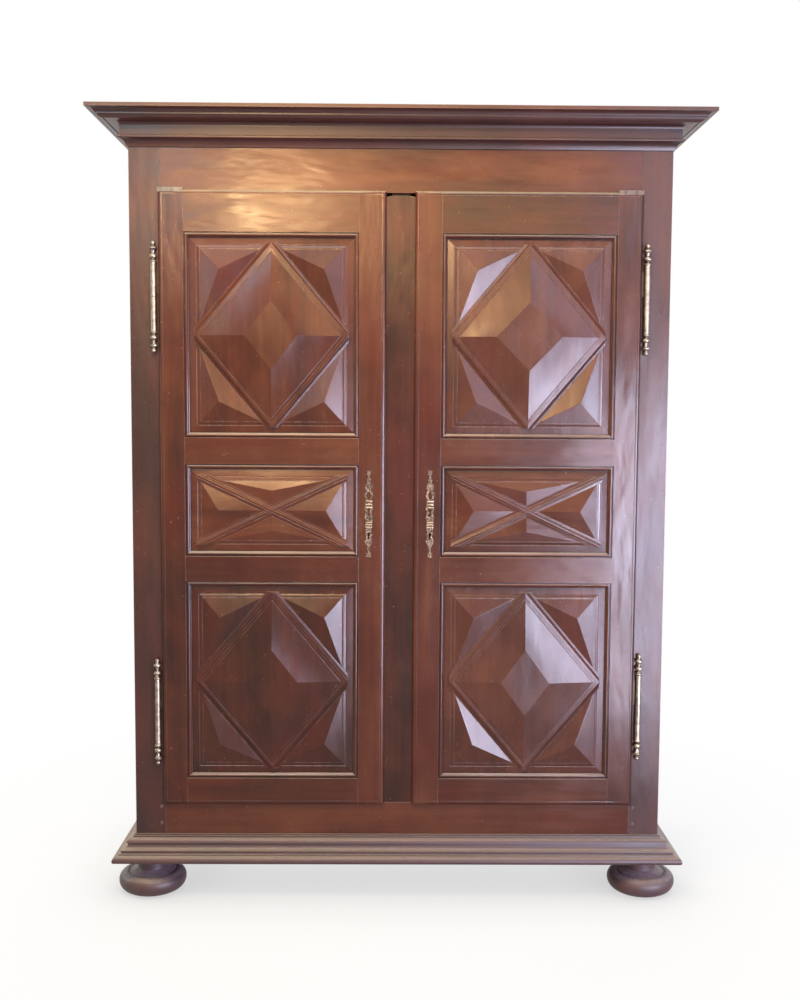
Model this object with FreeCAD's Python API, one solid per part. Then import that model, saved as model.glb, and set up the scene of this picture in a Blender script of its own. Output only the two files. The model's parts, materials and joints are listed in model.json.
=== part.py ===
import FreeCAD, Part
import math
import os

from FreeCAD import Vector

# A two-door cupboard with faceted door panels, in millimetres.
# The origin is on the floor, in the middle of the footprint. +X is to the right, +Y to the back, +Z up.

# Driving sizes of the whole
body_width = 1500.0
body_depth = 560.0
foot_height = 105.5
base_height = 69.5
body_height = 1932.0
cornice_height = 95.0
cornice_projection = 96.0
base_projection = 59.0

# Carcass timbers
front_post_width = 85.0
rear_post_width = 60.0
post_depth = 60.0
rail_thickness = 28.0
frieze_height = 119.6
bottom_rail_show = 92.6
side_rail_height = 120.0
side_middle_rail_height = 90.0
back_rail_height = 100.0
centre_post_width = 90.0
centre_post_depth = 45.0
centre_post_top_gap = 9.5
centre_post_chamfer = 3.0

# Joints of the carcass
tenon_thickness = 10.0
tenon_setback = 9.0
tenon_shoulder = 14.0
front_tenon_length = 55.0
side_tenon_length = 38.0
centre_tenon_length = 30.0
centre_tenon_thickness = 8.0
centre_tenon_width = 50.0
centre_top_tenon_setback = 16.0
joint_clearance = 0.2
peg_radius = 4.5
peg_length = 26.0
peg_stand = 1.0
peg_inset = 12.0
peg_upper_drop = 14.0
peg_lower_drop = 62.0
peg_sides = 8

# Boards inside and behind
panel_thickness = 10.0
panel_tongue = 10.0
panel_play = 2.0
side_panel_setback = 10.0
side_field_margin = 12.0
side_field_bevel = 42.0
side_field_rise = 6.0
floor_thickness = 18.0
floor_seat = 12.0
floor_board_count = 5
shelf_thickness = 22.0
shelf_gap = 0.5
shelf_front_setback = 64.0
shelf_height_shares = {"lower_shelf": 0.25, "middle_shelf": 0.5, "upper_shelf": 0.75}
cleat_width = 24.0
cleat_height = 32.0
back_board_thickness = 14.0
back_board_margin = 18.0
back_board_count = 7
board_gap = 0.4
top_board_thickness = 15.0
top_board_count = 5
rear_foot_chamfer = 6.0

# Cornice and base mouldings: how far out, how far up, and the bulge of the stretch that ends there
cornice_bearing = 30.0
cornice_lip_height = 22.0
cornice_back_thickness = 25.0
cornice_board_share = 0.44
cornice_outline_shares = [
    (0.000, 0.000, 0.0),
    (0.030, 0.000, 0.0),
    (0.035, 0.040, 0.0),
    (0.090, 0.085, -0.15),
    (0.100, 0.140, 0.0),
    (0.115, 0.145, 0.0),
    (0.118, 0.200, 0.0),
    (0.145, 0.210, 0.0),
    (0.300, 0.450, 0.17),
    (0.320, 0.480, 0.0),
    (0.540, 0.690, -0.20),
    (0.710, 0.690, 0.0),
    (0.710, 0.770, 0.0),
    (0.735, 0.785, 0.0),
    (0.765, 0.830, 0.20),
    (0.785, 0.830, 0.0),
    (0.935, 0.895, -0.20),
    (1.000, 0.905, 0.0),
    (1.000, 1.000, 0.0),
]
base_outline_shares = [
    (0.000, 0.000, 0.0),
    (0.930, 0.000, 0.0),
    (1.000, 0.115, 0.15),
    (0.780, 0.280, 0.22),
    (0.737, 0.290, 0.0),
    (0.729, 0.324, 0.0),
    (0.678, 0.331, 0.0),
    (0.636, 0.381, -0.10),
    (0.653, 0.403, 0.0),
    (0.644, 0.453, 0.0),
    (0.610, 0.460, 0.0),
    (0.373, 0.683, -0.22),
    (0.415, 0.698, 0.0),
    (0.165, 0.862, 0.24),
    (0.136, 0.870, 0.0),
    (0.127, 0.928, 0.0),
    (0.075, 0.935, 0.0),
    (0.075, 1.000, 0.0),
    (0.000, 1.000, 0.0),
]

# Bun feet at the front, turned
foot_radius = 96.0
foot_centre_inset = 38.5
foot_tenon_radius = 14.0
foot_tenon_length = 40.0
foot_outline_shares = [
    (0.640, 0.000, 0.0),
    (0.880, 0.070, 0.10),
    (1.000, 0.300, 0.12),
    (0.725, 0.520, 0.24),
    (0.700, 0.505, 0.0),
    (0.695, 0.545, 0.0),
    (0.540, 0.665, 0.12),
    (0.430, 0.790, -0.14),
    (0.430, 0.860, 0.0),
    (0.500, 0.875, 0.0),
    (0.500, 1.000, 0.0),
]

# Doors
door_thickness = 28.0
lip_thickness = 12.0
lip_overlap = 5.0
door_clearance = 2.5
hinge_stile_width = 69.8
lock_stile_width = 74.6
door_top_rail_height = 115.0
door_upper_middle_rail_height = 73.8
door_lower_middle_rail_height = 71.4
door_bottom_rail_height = 77.8
middle_pane_height = 259.4
door_tenon_length = 45.0
door_tenon_thickness = 8.0
door_tenon_setback = 13.0
door_tenon_shoulder = 16.0
door_edge_width = 12.0
door_edge_depth = 9.0
stile_end_height = 12.0
stile_end_rise = 5.0
stile_end_setback = 2.0
door_edge_shares = [(0.0, 1.0, 0.0), (1.0, 0.16, 0.22), (1.0, 0.0, 0.0)]
pane_moulding_width = 14.0
pane_moulding_shares = [
    (0.00, 0.00, 0.0),
    (0.00, 0.42, 0.0),
    (0.20, 0.42, 0.0),
    (0.24, 0.24, 0.0),
    (0.80, 0.34, 0.24),
    (0.84, 0.52, 0.0),
    (1.00, 0.66, 0.0),
]

# Faceted panels: heights are measured forward from the flat margin of the panel
panel_setback = 12.0
field_margin = 15.0
field_step = 3.0
band_width = 17.0
band_rise = 5.5
facet_step = 1.5
corner_height = 24.0
rhombus_foot = 4.0
rhombus_cove_width = 14.0
rhombus_cove_rise = 13.0
rhombus_flat_width = 27.0
rhombus_flat_rise = 14.0
rhombus_facet_foot = 16.0
rhombus_height = 34.0
rhombus_plateau_share = 0.36
cross_height = 22.0
cross_rib_width = 15.0
cross_rib_rise = 8.5
cross_apex_share = 0.86

# Hinges: each has a lower half with its pin on the post and an upper half on the door
hinge_outboard = 13.0
hinge_standoff = 11.2
hinge_barrel_radius = 7.6
hinge_barrel_length = 93.0
hinge_finial_length = 60.0
hinge_finial_radius = 10.2
hinge_pin_radius = 3.5
hinge_pin_length = 60.0
hinge_pin_fit = 0.05
hinge_bore_spare = 3.0
hinge_half_gap = 0.3
hinge_leaf_thickness = 2.5
hinge_leaf_length = 70.0
hinge_leaf_depth = 30.0
hinge_leaf_setback = 7.0
hinge_leaf_fit = 0.2
hinge_leaf_end_gap = 8.0
upper_hinge_drop = 293.4
left_lower_hinge_rise = 270.4
right_lower_hinge_rise = 287.4
finial_outline_shares = [
    (0.745, 0.000, 0.0),
    (0.870, 0.020, 0.0),
    (0.880, 0.085, 0.10),
    (0.720, 0.150, 0.10),
    (0.500, 0.200, 0.0),
    (0.420, 0.245, 0.0),
    (0.420, 0.400, 0.38),
    (0.420, 0.445, 0.0),
    (0.600, 0.500, -0.10),
    (1.000, 0.575, -0.10),
    (0.960, 0.640, 0.20),
    (0.400, 0.760, -0.12),
    (0.330, 0.820, 0.0),
    (0.540, 0.885, 0.20),
    (0.500, 0.960, 0.12),
    (0.220, 1.000, 0.18),
]

# Escutcheons: share of the length from the top, half width as a share of half the plate's width
escutcheon_length = 247.0
escutcheon_width = 25.0
escutcheon_thickness = 2.0
escutcheon_band_rise = 1.6
escutcheon_inset = 46.0
escutcheon_drop = 8.7
escutcheon_outline_shares = [
    (0.000, 0.16),
    (0.014, 0.62),
    (0.030, 0.30),
    (0.044, 0.58),
    (0.058, 0.18),
    (0.085, 0.22),
    (0.110, 0.46),
    (0.130, 0.34),
    (0.165, 0.72),
    (0.200, 0.88),
    (0.226, 0.52),
    (0.250, 0.90),
    (0.290, 1.00),
    (0.330, 0.70),
    (0.345, 0.86),
    (0.402, 0.86),
    (0.412, 1.00),
    (0.440, 0.96),
    (0.460, 0.72),
    (0.520, 0.78),
    (0.540, 0.98),
    (0.560, 0.86),
    (0.665, 0.86),
    (0.690, 0.60),
    (0.730, 0.92),
    (0.760, 0.56),
    (0.800, 0.92),
    (0.835, 0.74),
    (0.870, 0.36),
    (0.930, 0.20),
    (0.945, 0.60),
    (0.962, 0.34),
    (0.978, 0.66),
    (1.000, 0.14),
]
escutcheon_hole_shares = [
    [(0.236, 0.0), (0.262, 0.34), (0.300, 0.46), (0.322, 0.20), (0.330, 0.0)],
    [(0.425, 0.0), (0.440, 0.30), (0.480, 0.16), (0.515, 0.26), (0.528, 0.0)],
]
escutcheon_band_shares = [0.352, 0.376, 0.398, 0.572, 0.598, 0.624, 0.650]
escutcheon_band_height = 3.2
band_reach_share = 0.86
keyhole_share = 0.728
keyhole_radius = 4.0
keyhole_slot_width = 3.4
keyhole_slot_length = 14.0

# Locks inside the doors
lock_case_width = 60.0
lock_case_height = 110.0
lock_case_depth = 20.0
lock_case_setback = 1.0
lock_bolt_height = 26.0
lock_bolt_thickness = 9.0
lock_bolt_length = 42.0
lock_bolt_travel = 12.0
lock_bolt_fit = 0.3
bolt_mortise_spare = 2.0

# One overrun past every cut, and one depth by which joined shapes of one solid sink into each other
overrun = 5.0
sink = 1.0

# Places worked out from the sizes
half_width = body_width / 2
front_y = (cornice_projection - body_depth) / 2
back_y = front_y + body_depth
base_top_z = foot_height + base_height
body_top_z = base_top_z + body_height
front_post_back_y = front_y + post_depth
rear_post_front_y = back_y - post_depth
opening_half = half_width - front_post_width
opening_bottom_z = base_top_z + bottom_rail_show
opening_top_z = body_top_z - frieze_height
inner_side_x = half_width - rail_thickness
back_rail_back_y = back_y - back_board_thickness
back_rail_front_y = back_rail_back_y - rail_thickness
top_z = body_top_z + cornice_height
floor_bottom_z = opening_bottom_z - floor_thickness

door_outer_x = opening_half + lip_overlap
door_inner_x = centre_post_width / 2 - lip_overlap
door_bottom_z = opening_bottom_z - lip_overlap
door_top_z = opening_top_z + lip_overlap
door_front_y = front_y - lip_thickness
door_back_y = door_front_y + door_thickness
pane_hinge_x = -door_outer_x + hinge_stile_width
pane_lock_x = -door_inner_x - lock_stile_width
pane_middle_x = (pane_hinge_x + pane_lock_x) / 2
tall_pane_height = (door_top_z - door_bottom_z - door_top_rail_height - door_upper_middle_rail_height
                    - door_lower_middle_rail_height - door_bottom_rail_height - middle_pane_height) / 2
lower_pane_z = (door_bottom_z + door_bottom_rail_height,
                door_bottom_z + door_bottom_rail_height + tall_pane_height)
middle_pane_z = (lower_pane_z[1] + door_lower_middle_rail_height,
                 lower_pane_z[1] + door_lower_middle_rail_height + middle_pane_height)
upper_pane_z = (middle_pane_z[1] + door_upper_middle_rail_height,
                middle_pane_z[1] + door_upper_middle_rail_height + tall_pane_height)
panes = {"lower": lower_pane_z, "middle": middle_pane_z, "upper": upper_pane_z}

hinge_x = -door_outer_x - hinge_outboard
hinge_y = front_y - hinge_standoff
upper_hinge_z = door_top_z - upper_hinge_drop
left_lower_hinge_z = door_bottom_z + left_lower_hinge_rise
right_lower_hinge_z = door_bottom_z + right_lower_hinge_rise
escutcheon_x = -door_inner_x - escutcheon_inset
lock_nose_x = -door_inner_x - lip_overlap - door_clearance - lock_case_setback
escutcheon_top_z = (middle_pane_z[0] + middle_pane_z[1] + escutcheon_length) / 2 - escutcheon_drop
keyhole_z = escutcheon_top_z - keyhole_share * escutcheon_length


# Small shape helpers

def box(x_range, y_range, z_range):
    """A block between two places along each axis."""
    ranges = (x_range, y_range, z_range)
    low = Vector(*[min(pair) for pair in ranges])
    high = Vector(*[max(pair) for pair in ranges])
    size = high - low
    return Part.makeBox(size.x, size.y, size.z, low)


def grown(ranges, amount):
    """The same ranges with the amount added at both ends of each."""
    return [(min(pair) - amount, max(pair) + amount) for pair in ranges]


def prism(points, sweep):
    """A flat polygon swept along a vector."""
    return Part.Face(Part.makePolygon(points + points[:1])).extrude(sweep)


def front_prism(points, y_range):
    """A polygon drawn in the front view, as X and Z, through a range of Y."""
    corners = [Vector(x, y_range[0], z) for x, z in points]
    return prism(corners, Vector(0, y_range[1] - y_range[0], 0))


def plan_prism(points, z_range):
    """A polygon drawn in the plan, as X and Y, through a range of Z."""
    corners = [Vector(x, y, z_range[0]) for x, y in points]
    return prism(corners, Vector(0, 0, z_range[1] - z_range[0]))


def outline_edges(points, place):
    """Lines and arcs through (u, v, bulge) points, set in space by place.

    The bulge belongs to the stretch that ends at its point: it is the arc's rise, to the right of the
    way the outline runs, as a share of the stretch.
    """
    edges = []
    for (u_from, v_from, _), (u_to, v_to, bulge) in zip(points, points[1:]):
        start = place(u_from, v_from)
        end = place(u_to, v_to)
        if bulge:
            middle = place((u_from + u_to) / 2 + (v_to - v_from) * bulge,
                           (v_from + v_to) / 2 - (u_to - u_from) * bulge)
            edges.append(Part.Arc(start, middle, end).toShape())
        else:
            edges.append(Part.LineSegment(start, end).toShape())
    return edges


def outline_face(points, place):
    """The flat face inside an outline, closed by a straight line."""
    closed = points + [(points[0][0], points[0][1], 0.0)]
    return Part.Face(Part.Wire(outline_edges(closed, place)))


def sized(shares, width, height):
    """An outline's table of shares as real sizes."""
    return [(u * width, v * height, bulge) for u, v, bulge in shares]


def turned(points, axis_x, axis_y, base_z, way):
    """(radius, height, bulge) points spun about an upright axis, up or down from a height."""
    def place(radius, height):
        return Vector(axis_x + radius, axis_y, base_z + way * height)
    first_height = points[0][1]
    last_height = points[-1][1]
    outline = [(0.0, first_height, 0.0)] + points
    if points[-1][0]:
        outline.append((0.0, last_height, 0.0))
    face = outline_face(outline, place)
    return face.revolve(Vector(axis_x, axis_y, base_z), Vector(0, 0, 1), 360)


def polyhedron(faces):
    """A solid with flat faces, each given by its corners."""
    shell = Part.makeShell([Part.Face(Part.makePolygon(corners + corners[:1])) for corners in faces])
    solid = Part.makeSolid(shell)
    if solid.Volume < 0:
        solid.reverse()
    return solid


def frustum(lower, upper):
    """A solid between two like polygons with parallel sides."""
    sides = [[lower[n - 1], lower[n], upper[n], upper[n - 1]] for n in range(len(lower))]
    return polyhedron([lower, upper] + sides)


def pyramid(base, apex):
    """A solid between a polygon and a point."""
    return polyhedron([base] + [[base[n - 1], base[n], apex] for n in range(len(base))])


def fused(shapes):
    """One solid from overlapping shapes, with the seams between flush faces removed."""
    whole = shapes[0].fuse(shapes[1:]) if len(shapes) > 1 else shapes[0]
    return whole.removeSplitter()


def mirrored(shape):
    """The same shape on the other side of the middle plane."""
    return shape.mirror(Vector(0, 0, 0), Vector(1, 0, 0))


def split_boards(shape, count, low, high):
    """The shape sawn into equal boards side by side along X, a small gap apart."""
    pitch = (high - low) / count
    bounds = shape.BoundBox
    boards = []
    for number in range(count):
        start = low + number * pitch + (board_gap / 2 if number else 0)
        end = low + (number + 1) * pitch - (board_gap / 2 if number < count - 1 else 0)
        strip = box((start, end), (bounds.YMin - overrun, bounds.YMax + overrun),
                    (bounds.ZMin - overrun, bounds.ZMax + overrun))
        boards.append(shape.common(strip))
    return Part.makeCompound([board.Solids[0] for board in boards])


# Carcass: the posts, the rails between them, and what they hold

def front_tenon_ranges(z_range):
    """Where a front rail's tenons lie, right through the rail and into both posts."""
    reach = opening_half + front_tenon_length
    tenon_y = front_y + tenon_setback
    return [(-reach, reach), (tenon_y, tenon_y + tenon_thickness),
            (z_range[0] + tenon_shoulder, z_range[1] - tenon_shoulder)]


def side_tenon_ranges(z_range):
    """Where a left side rail's tenons lie, right through the rail and into both posts."""
    tenon_x = -half_width + tenon_setback
    return [(tenon_x, tenon_x + tenon_thickness),
            (front_post_back_y - side_tenon_length, rear_post_front_y + side_tenon_length),
            (z_range[0] + tenon_shoulder, z_range[1] - tenon_shoulder)]


def back_tenon_ranges(z_range):
    """Where a back rail's tenons lie, right through the rail and into both posts."""
    reach = half_width - rear_post_width + side_tenon_length
    tenon_y = back_rail_front_y + tenon_setback
    return [(-reach, reach), (tenon_y, tenon_y + tenon_thickness),
            (z_range[0] + tenon_shoulder, z_range[1] - tenon_shoulder)]


side_middle_z = (floor_bottom_z + body_top_z - side_rail_height) / 2
front_bottom_rail_z = (foot_height, opening_bottom_z)
front_top_rail_z = (opening_top_z, body_top_z)
side_rails_z = [(foot_height, floor_bottom_z),
                (side_middle_z - side_middle_rail_height / 2, side_middle_z + side_middle_rail_height / 2),
                (body_top_z - side_rail_height, body_top_z)]
back_rails_z = [(foot_height, floor_bottom_z),
                (side_middle_z - back_rail_height / 2, side_middle_z + back_rail_height / 2),
                (body_top_z - back_rail_height, body_top_z)]
side_panels_z = [(side_rails_z[0][1], side_rails_z[1][0]), (side_rails_z[1][1], side_rails_z[2][0])]


def side_panel_ranges(z_range):
    """The board of a left side panel with its tongues."""
    panel_x = -half_width + side_panel_setback
    return [(panel_x, panel_x + panel_thickness),
            (front_post_back_y - panel_tongue, rear_post_front_y + panel_tongue),
            (z_range[0] - panel_tongue, z_range[1] + panel_tongue)]


def groove_cut(ranges, thin_axis):
    """The groove that a panel's tongue sits in: room to move in depth, and a close fit in thickness."""
    play = [(min(pair) - panel_play, max(pair) + panel_play) for pair in ranges]
    play[thin_axis] = (min(ranges[thin_axis]) - joint_clearance, max(ranges[thin_axis]) + joint_clearance)
    return box(*play)


def side_groove_cuts():
    return [groove_cut(side_panel_ranges(z_range), 0) for z_range in side_panels_z]


def peg_places():
    """The pegs of the left front post: their X and Z."""
    x = -opening_half - peg_inset
    return [(x, opening_bottom_z - drop) for drop in (peg_upper_drop, peg_lower_drop)]


def peg_prism(x, z, radius, y_range):
    """An eight-sided riven peg, driven in from the front."""
    turns = [2 * math.pi * (side + 1 / 2) / peg_sides for side in range(peg_sides)]
    corners = [(x + radius * math.cos(turn), z + radius * math.sin(turn)) for turn in turns]
    return front_prism(corners, y_range)


def peg_holes():
    y_range = (front_y - overrun, front_y + peg_length + peg_stand)
    holes = [peg_prism(x, z, peg_radius + joint_clearance, y_range) for x, z in peg_places()]
    return holes + [mirrored(hole) for hole in holes]


def foot_tenon(radius, length):
    """The round tenon on top of the left front foot."""
    centre = Vector(-half_width + foot_centre_inset, front_y + foot_centre_inset, foot_height - sink)
    return Part.makeCylinder(radius, length + sink, centre)


def hinge_leaf(thickness, depth, centre_z, on_post):
    """The flat leaf of a hinge half: straight back into the post, or sideways into the door's edge."""
    if on_post:
        x_range = (hinge_x - thickness / 2, hinge_x + thickness / 2)
        y_range = (hinge_y, front_y + depth)
        z_middle = centre_z - hinge_leaf_end_gap - hinge_leaf_length / 2
    else:
        x_range = (hinge_x, -door_outer_x + depth)
        leaf_y = door_front_y + hinge_leaf_setback
        y_range = (leaf_y - thickness / 2, leaf_y + thickness / 2)
        z_middle = centre_z + hinge_leaf_end_gap + hinge_leaf_length / 2
    spare = (thickness - hinge_leaf_thickness) / 2
    z_range = (z_middle - hinge_leaf_length / 2 - spare, z_middle + hinge_leaf_length / 2 + spare)
    return box(x_range, y_range, z_range)


def leaf_slots(lower_hinge_z, on_post):
    """The slots for the leaves of one door's two hinges."""
    thickness = hinge_leaf_thickness + 2 * hinge_leaf_fit
    depth = hinge_leaf_depth + hinge_leaf_fit
    return [hinge_leaf(thickness, depth, height, on_post) for height in (lower_hinge_z, upper_hinge_z)]


def front_post(lower_hinge_z):
    """The left front post, mortised for the rails, grooved for the panels and slotted for the hinges."""
    post = box((-half_width, -opening_half), (front_y, front_post_back_y), (foot_height, body_top_z))
    cuts = [box(*grown(front_tenon_ranges(z_range), joint_clearance))
            for z_range in (front_bottom_rail_z, front_top_rail_z)]
    cuts += [box(*grown(side_tenon_ranges(z_range), joint_clearance)) for z_range in side_rails_z]
    cuts += side_groove_cuts() + peg_holes() + leaf_slots(lower_hinge_z, True)
    cuts.append(foot_tenon(foot_tenon_radius + joint_clearance, foot_tenon_length + joint_clearance))
    return post.cut(cuts)


def rear_post():
    """The left rear post: it runs down to the floor as a plain square foot, and holds the back boards."""
    post = box((-half_width, -half_width + rear_post_width), (rear_post_front_y, back_y), (0, body_top_z))
    floor_edges = [edge for edge in post.Edges if edge.BoundBox.ZMax < overrun]
    post = post.makeChamfer(rear_foot_chamfer, floor_edges)
    cuts = [box(*grown(side_tenon_ranges(z_range), joint_clearance)) for z_range in side_rails_z]
    cuts += [box(*grown(back_tenon_ranges(z_range), joint_clearance)) for z_range in back_rails_z]
    cuts += side_groove_cuts()
    rebate_x = (-half_width + back_board_margin, 0)
    rebate_y = (back_rail_back_y, back_y + overrun)
    cuts.append(box(rebate_x, rebate_y, (foot_height, body_top_z + overrun)))
    return post.cut(cuts)


def front_rail(z_range):
    """A rail between the front posts, with its tenons."""
    rail = box((-opening_half, opening_half), (front_y, front_y + rail_thickness), z_range)
    return fused([rail, box(*front_tenon_ranges(z_range))]).cut(peg_holes())


def front_bottom_rail():
    """The bottom rail, rebated for the floor boards and mortised for the centre post."""
    rebate = box((-opening_half - overrun, opening_half + overrun),
                 (front_y + rail_thickness - floor_seat, front_y + rail_thickness + overrun),
                 (floor_bottom_z, opening_bottom_z + overrun))
    rail = front_rail(front_bottom_rail_z)
    return rail.cut([rebate, box(*grown(lower_centre_tenon_ranges(), joint_clearance))])


def front_top_rail():
    """The frieze rail, mortised from below for the centre post."""
    return front_rail(front_top_rail_z).cut(box(*grown(upper_centre_tenon_ranges(), joint_clearance)))


def centre_tenon_ranges(setback, far_z):
    """A tenon at one end of the centre post, from inside the post to its far end."""
    tenon_y = front_y + setback
    return [(-centre_tenon_width / 2, centre_tenon_width / 2),
            (tenon_y, tenon_y + centre_tenon_thickness),
            (far_z, (opening_bottom_z + opening_top_z) / 2)]


def lower_centre_tenon_ranges():
    """The lower tenon stands in the middle of what the floor's rebate leaves of the rail."""
    setback = (rail_thickness - floor_seat - centre_tenon_thickness) / 2
    return centre_tenon_ranges(setback, opening_bottom_z - centre_tenon_length)


def upper_centre_tenon_ranges():
    """The upper tenon is set back, out of sight behind the gap over the post."""
    return centre_tenon_ranges(centre_top_tenon_setback, opening_top_z + centre_tenon_length)


def centre_post():
    """The fixed post between the doors, whose upper end stops short of the frieze rail."""
    half = centre_post_width / 2
    cut = centre_post_chamfer
    back = front_y + centre_post_depth
    outline = [(-half + cut, front_y), (half - cut, front_y), (half, front_y + cut), (half, back),
               (-half, back), (-half, front_y + cut)]
    post = plan_prism(outline, (opening_bottom_z, opening_top_z - centre_post_top_gap))
    tenons = [box(*lower_centre_tenon_ranges()), box(*upper_centre_tenon_ranges())]
    mortises = [bolt_mortise(), mirrored(bolt_mortise())]
    return fused([post] + tenons).cut(mortises)


def bolt_mortise():
    """The hole in the centre post's left side for the left door's bolt."""
    far_x = lock_nose_x + lock_bolt_travel + bolt_mortise_spare
    half_height = lock_bolt_height / 2 + bolt_mortise_spare
    middle_y = door_back_y + lock_case_depth / 2
    half_thickness = lock_bolt_thickness / 2 + bolt_mortise_spare
    return box((-half_width, far_x), (middle_y - half_thickness, middle_y + half_thickness),
               (keyhole_z - half_height, keyhole_z + half_height))


def side_rails():
    """The three rails of the left side."""
    rails = []
    for z_range in side_rails_z:
        rail = box((-half_width, -inner_side_x), (front_post_back_y, rear_post_front_y), z_range)
        rails.append(fused([rail, box(*side_tenon_ranges(z_range))]).cut(side_groove_cuts()))
    return Part.makeCompound(rails)


def fielded_side_panel(z_range):
    """A flat board with a raised field on its outer face, bevelled down to the tongues."""
    ranges = side_panel_ranges(z_range)
    outer_x = ranges[0][0]
    edge_y = (front_post_back_y + side_field_margin, rear_post_front_y - side_field_margin)
    edge_z = (z_range[0] + side_field_margin, z_range[1] - side_field_margin)

    def rectangle(inset, x):
        y_low, y_high = edge_y[0] + inset, edge_y[1] - inset
        z_low, z_high = edge_z[0] + inset, edge_z[1] - inset
        return [Vector(x, y_low, z_low), Vector(x, y_high, z_low), Vector(x, y_high, z_high),
                Vector(x, y_low, z_high)]

    bevel = frustum(rectangle(0, outer_x), rectangle(side_field_bevel, outer_x - side_field_rise))
    base = frustum(rectangle(0, outer_x), rectangle(0, outer_x + sink))
    return fused([box(*ranges), fused([bevel, base])])


def side_panels():
    return Part.makeCompound([fielded_side_panel(z_range) for z_range in side_panels_z])


def back_rails():
    """The three rails across the back, between the rear posts."""
    reach = half_width - rear_post_width
    rails = []
    for z_range in back_rails_z:
        rail = box((-reach, reach), (back_rail_front_y, back_rail_back_y), z_range)
        rails.append(fused([rail, box(*back_tenon_ranges(z_range))]))
    return Part.makeCompound(rails)


def back_boards():
    """Upright boards nailed on behind, from the bottom rail to the top."""
    reach = half_width - back_board_margin - board_gap
    sheet = box((-reach, reach), (back_rail_back_y, back_y), (foot_height, body_top_z))
    return split_boards(sheet, back_board_count, -reach, reach)


def notched_plan(front_edge_y, back_edge_y, gap):
    """The plan of a board that fills the carcass inside and is notched round the four posts."""
    wide = inner_side_x - gap
    front_x = opening_half - gap
    rear_x = half_width - rear_post_width - gap
    front_notch_y = front_post_back_y + gap
    rear_notch_y = rear_post_front_y - gap
    right = [(front_x, front_edge_y), (front_x, front_notch_y), (wide, front_notch_y), (wide, rear_notch_y),
             (rear_x, rear_notch_y), (rear_x, back_edge_y)]
    return right + [(-x, y) for x, y in reversed(right)]


def floor_boards():
    """Boards from front to back that sit in the bottom rail's rebate and on the back bottom rail."""
    front_edge_y = front_y + rail_thickness - floor_seat + shelf_gap
    sheet = plan_prism(notched_plan(front_edge_y, back_rail_back_y - shelf_gap, shelf_gap),
                       (floor_bottom_z, opening_bottom_z))
    return split_boards(sheet, floor_board_count, -inner_side_x + shelf_gap, inner_side_x - shelf_gap)


def shelf_bottom_z(name):
    inner_height = body_top_z - opening_bottom_z
    return opening_bottom_z + shelf_height_shares[name] * inner_height - shelf_thickness / 2


def shelf(name):
    """A shelf that lies on the cleats at its two ends."""
    bottom = shelf_bottom_z(name)
    plan = notched_plan(front_y + shelf_front_setback, back_rail_front_y - shelf_gap, shelf_gap)
    return plan_prism(plan, (bottom, bottom + shelf_thickness))


def shelf_cleats():
    """The left cleats, let in between the front and rear posts against the side rails and panels."""
    cleats = []
    for name in shelf_height_shares:
        top = shelf_bottom_z(name)
        x_range = (-inner_side_x, -inner_side_x + cleat_width)
        cleats.append(box(x_range, (front_post_back_y, rear_post_front_y), (top - cleat_height, top)))
    return Part.makeCompound(cleats)


def carcass_pegs():
    y_range = (front_y - peg_stand, front_y + peg_length)
    pegs = [peg_prism(x, z, peg_radius, y_range) for x, z in peg_places()]
    return Part.makeCompound(pegs + [mirrored(peg) for peg in pegs])


# Cornice, base moulding and feet

def cornice_outline():
    """The section of the cornice: moulded in front, and hollow behind like a board set on the slant."""
    moulded = sized(cornice_outline_shares, cornice_projection, cornice_height)
    back = [(cornice_projection * (1 - cornice_board_share), cornice_height, 0.0),
            (-cornice_bearing, cornice_lip_height, 0.0), (-cornice_bearing, 0.0, 0.0)]
    return moulded + back


def mitred_runs(outline, base_z, projection, bearing):
    """A moulding along the front and along the left side, mitred where they meet."""
    far = half_width + projection + overrun
    near = bearing + overrun
    reach = projection + overrun
    start_y = front_y - reach
    front_face = outline_face(outline, lambda out, up: Vector(-far, front_y - out, base_z + up))
    left_face = outline_face(outline, lambda out, up: Vector(-half_width - out, start_y, base_z + up))
    front = front_face.extrude(Vector(2 * far, 0, 0))
    left = left_face.extrude(Vector(0, back_y - start_y, 0))
    z_range = (base_z - overrun, base_z + cornice_height + base_height)
    front_plan = [(-half_width - reach, start_y), (half_width + reach, start_y),
                  (half_width - near, front_y + near), (-half_width + near, front_y + near)]
    left_plan = [(-half_width - reach, start_y), (-half_width + near, front_y + near),
                 (-half_width + near, back_y), (-half_width - reach, back_y)]
    return front.common(plan_prism(front_plan, z_range)), left.common(plan_prism(left_plan, z_range))


def cornice_back_rail():
    """The board that closes the cornice behind, between the two returns."""
    half_low = half_width - cornice_bearing - joint_clearance
    half_high = half_width + cornice_projection * (1 - cornice_board_share) - joint_clearance
    outline = [(-half_low, body_top_z), (half_low, body_top_z), (half_low, body_top_z + cornice_lip_height),
               (half_high, top_z), (-half_high, top_z), (-half_low, body_top_z + cornice_lip_height)]
    return front_prism(outline, (back_y - cornice_back_thickness, back_y))


def cornice_top_boards():
    """The dust boards that lie on the posts and rails inside the cornice."""
    reach = half_width - cornice_bearing - shelf_gap
    y_range = (front_y + cornice_bearing + shelf_gap, back_y - cornice_back_thickness - shelf_gap)
    sheet = box((-reach, reach), y_range, (body_top_z, body_top_z + top_board_thickness))
    return split_boards(sheet, top_board_count, -reach, reach)


def front_foot():
    """The left bun foot, turned from one block with its round tenon."""
    centre_x = -half_width + foot_centre_inset
    centre_y = front_y + foot_centre_inset
    body = turned(sized(foot_outline_shares, foot_radius, foot_height), centre_x, centre_y, 0, 1)
    return fused([body, foot_tenon(foot_tenon_radius, foot_tenon_length)])


# Doors: the left door is modelled, and the right one is its mirror image

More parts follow.
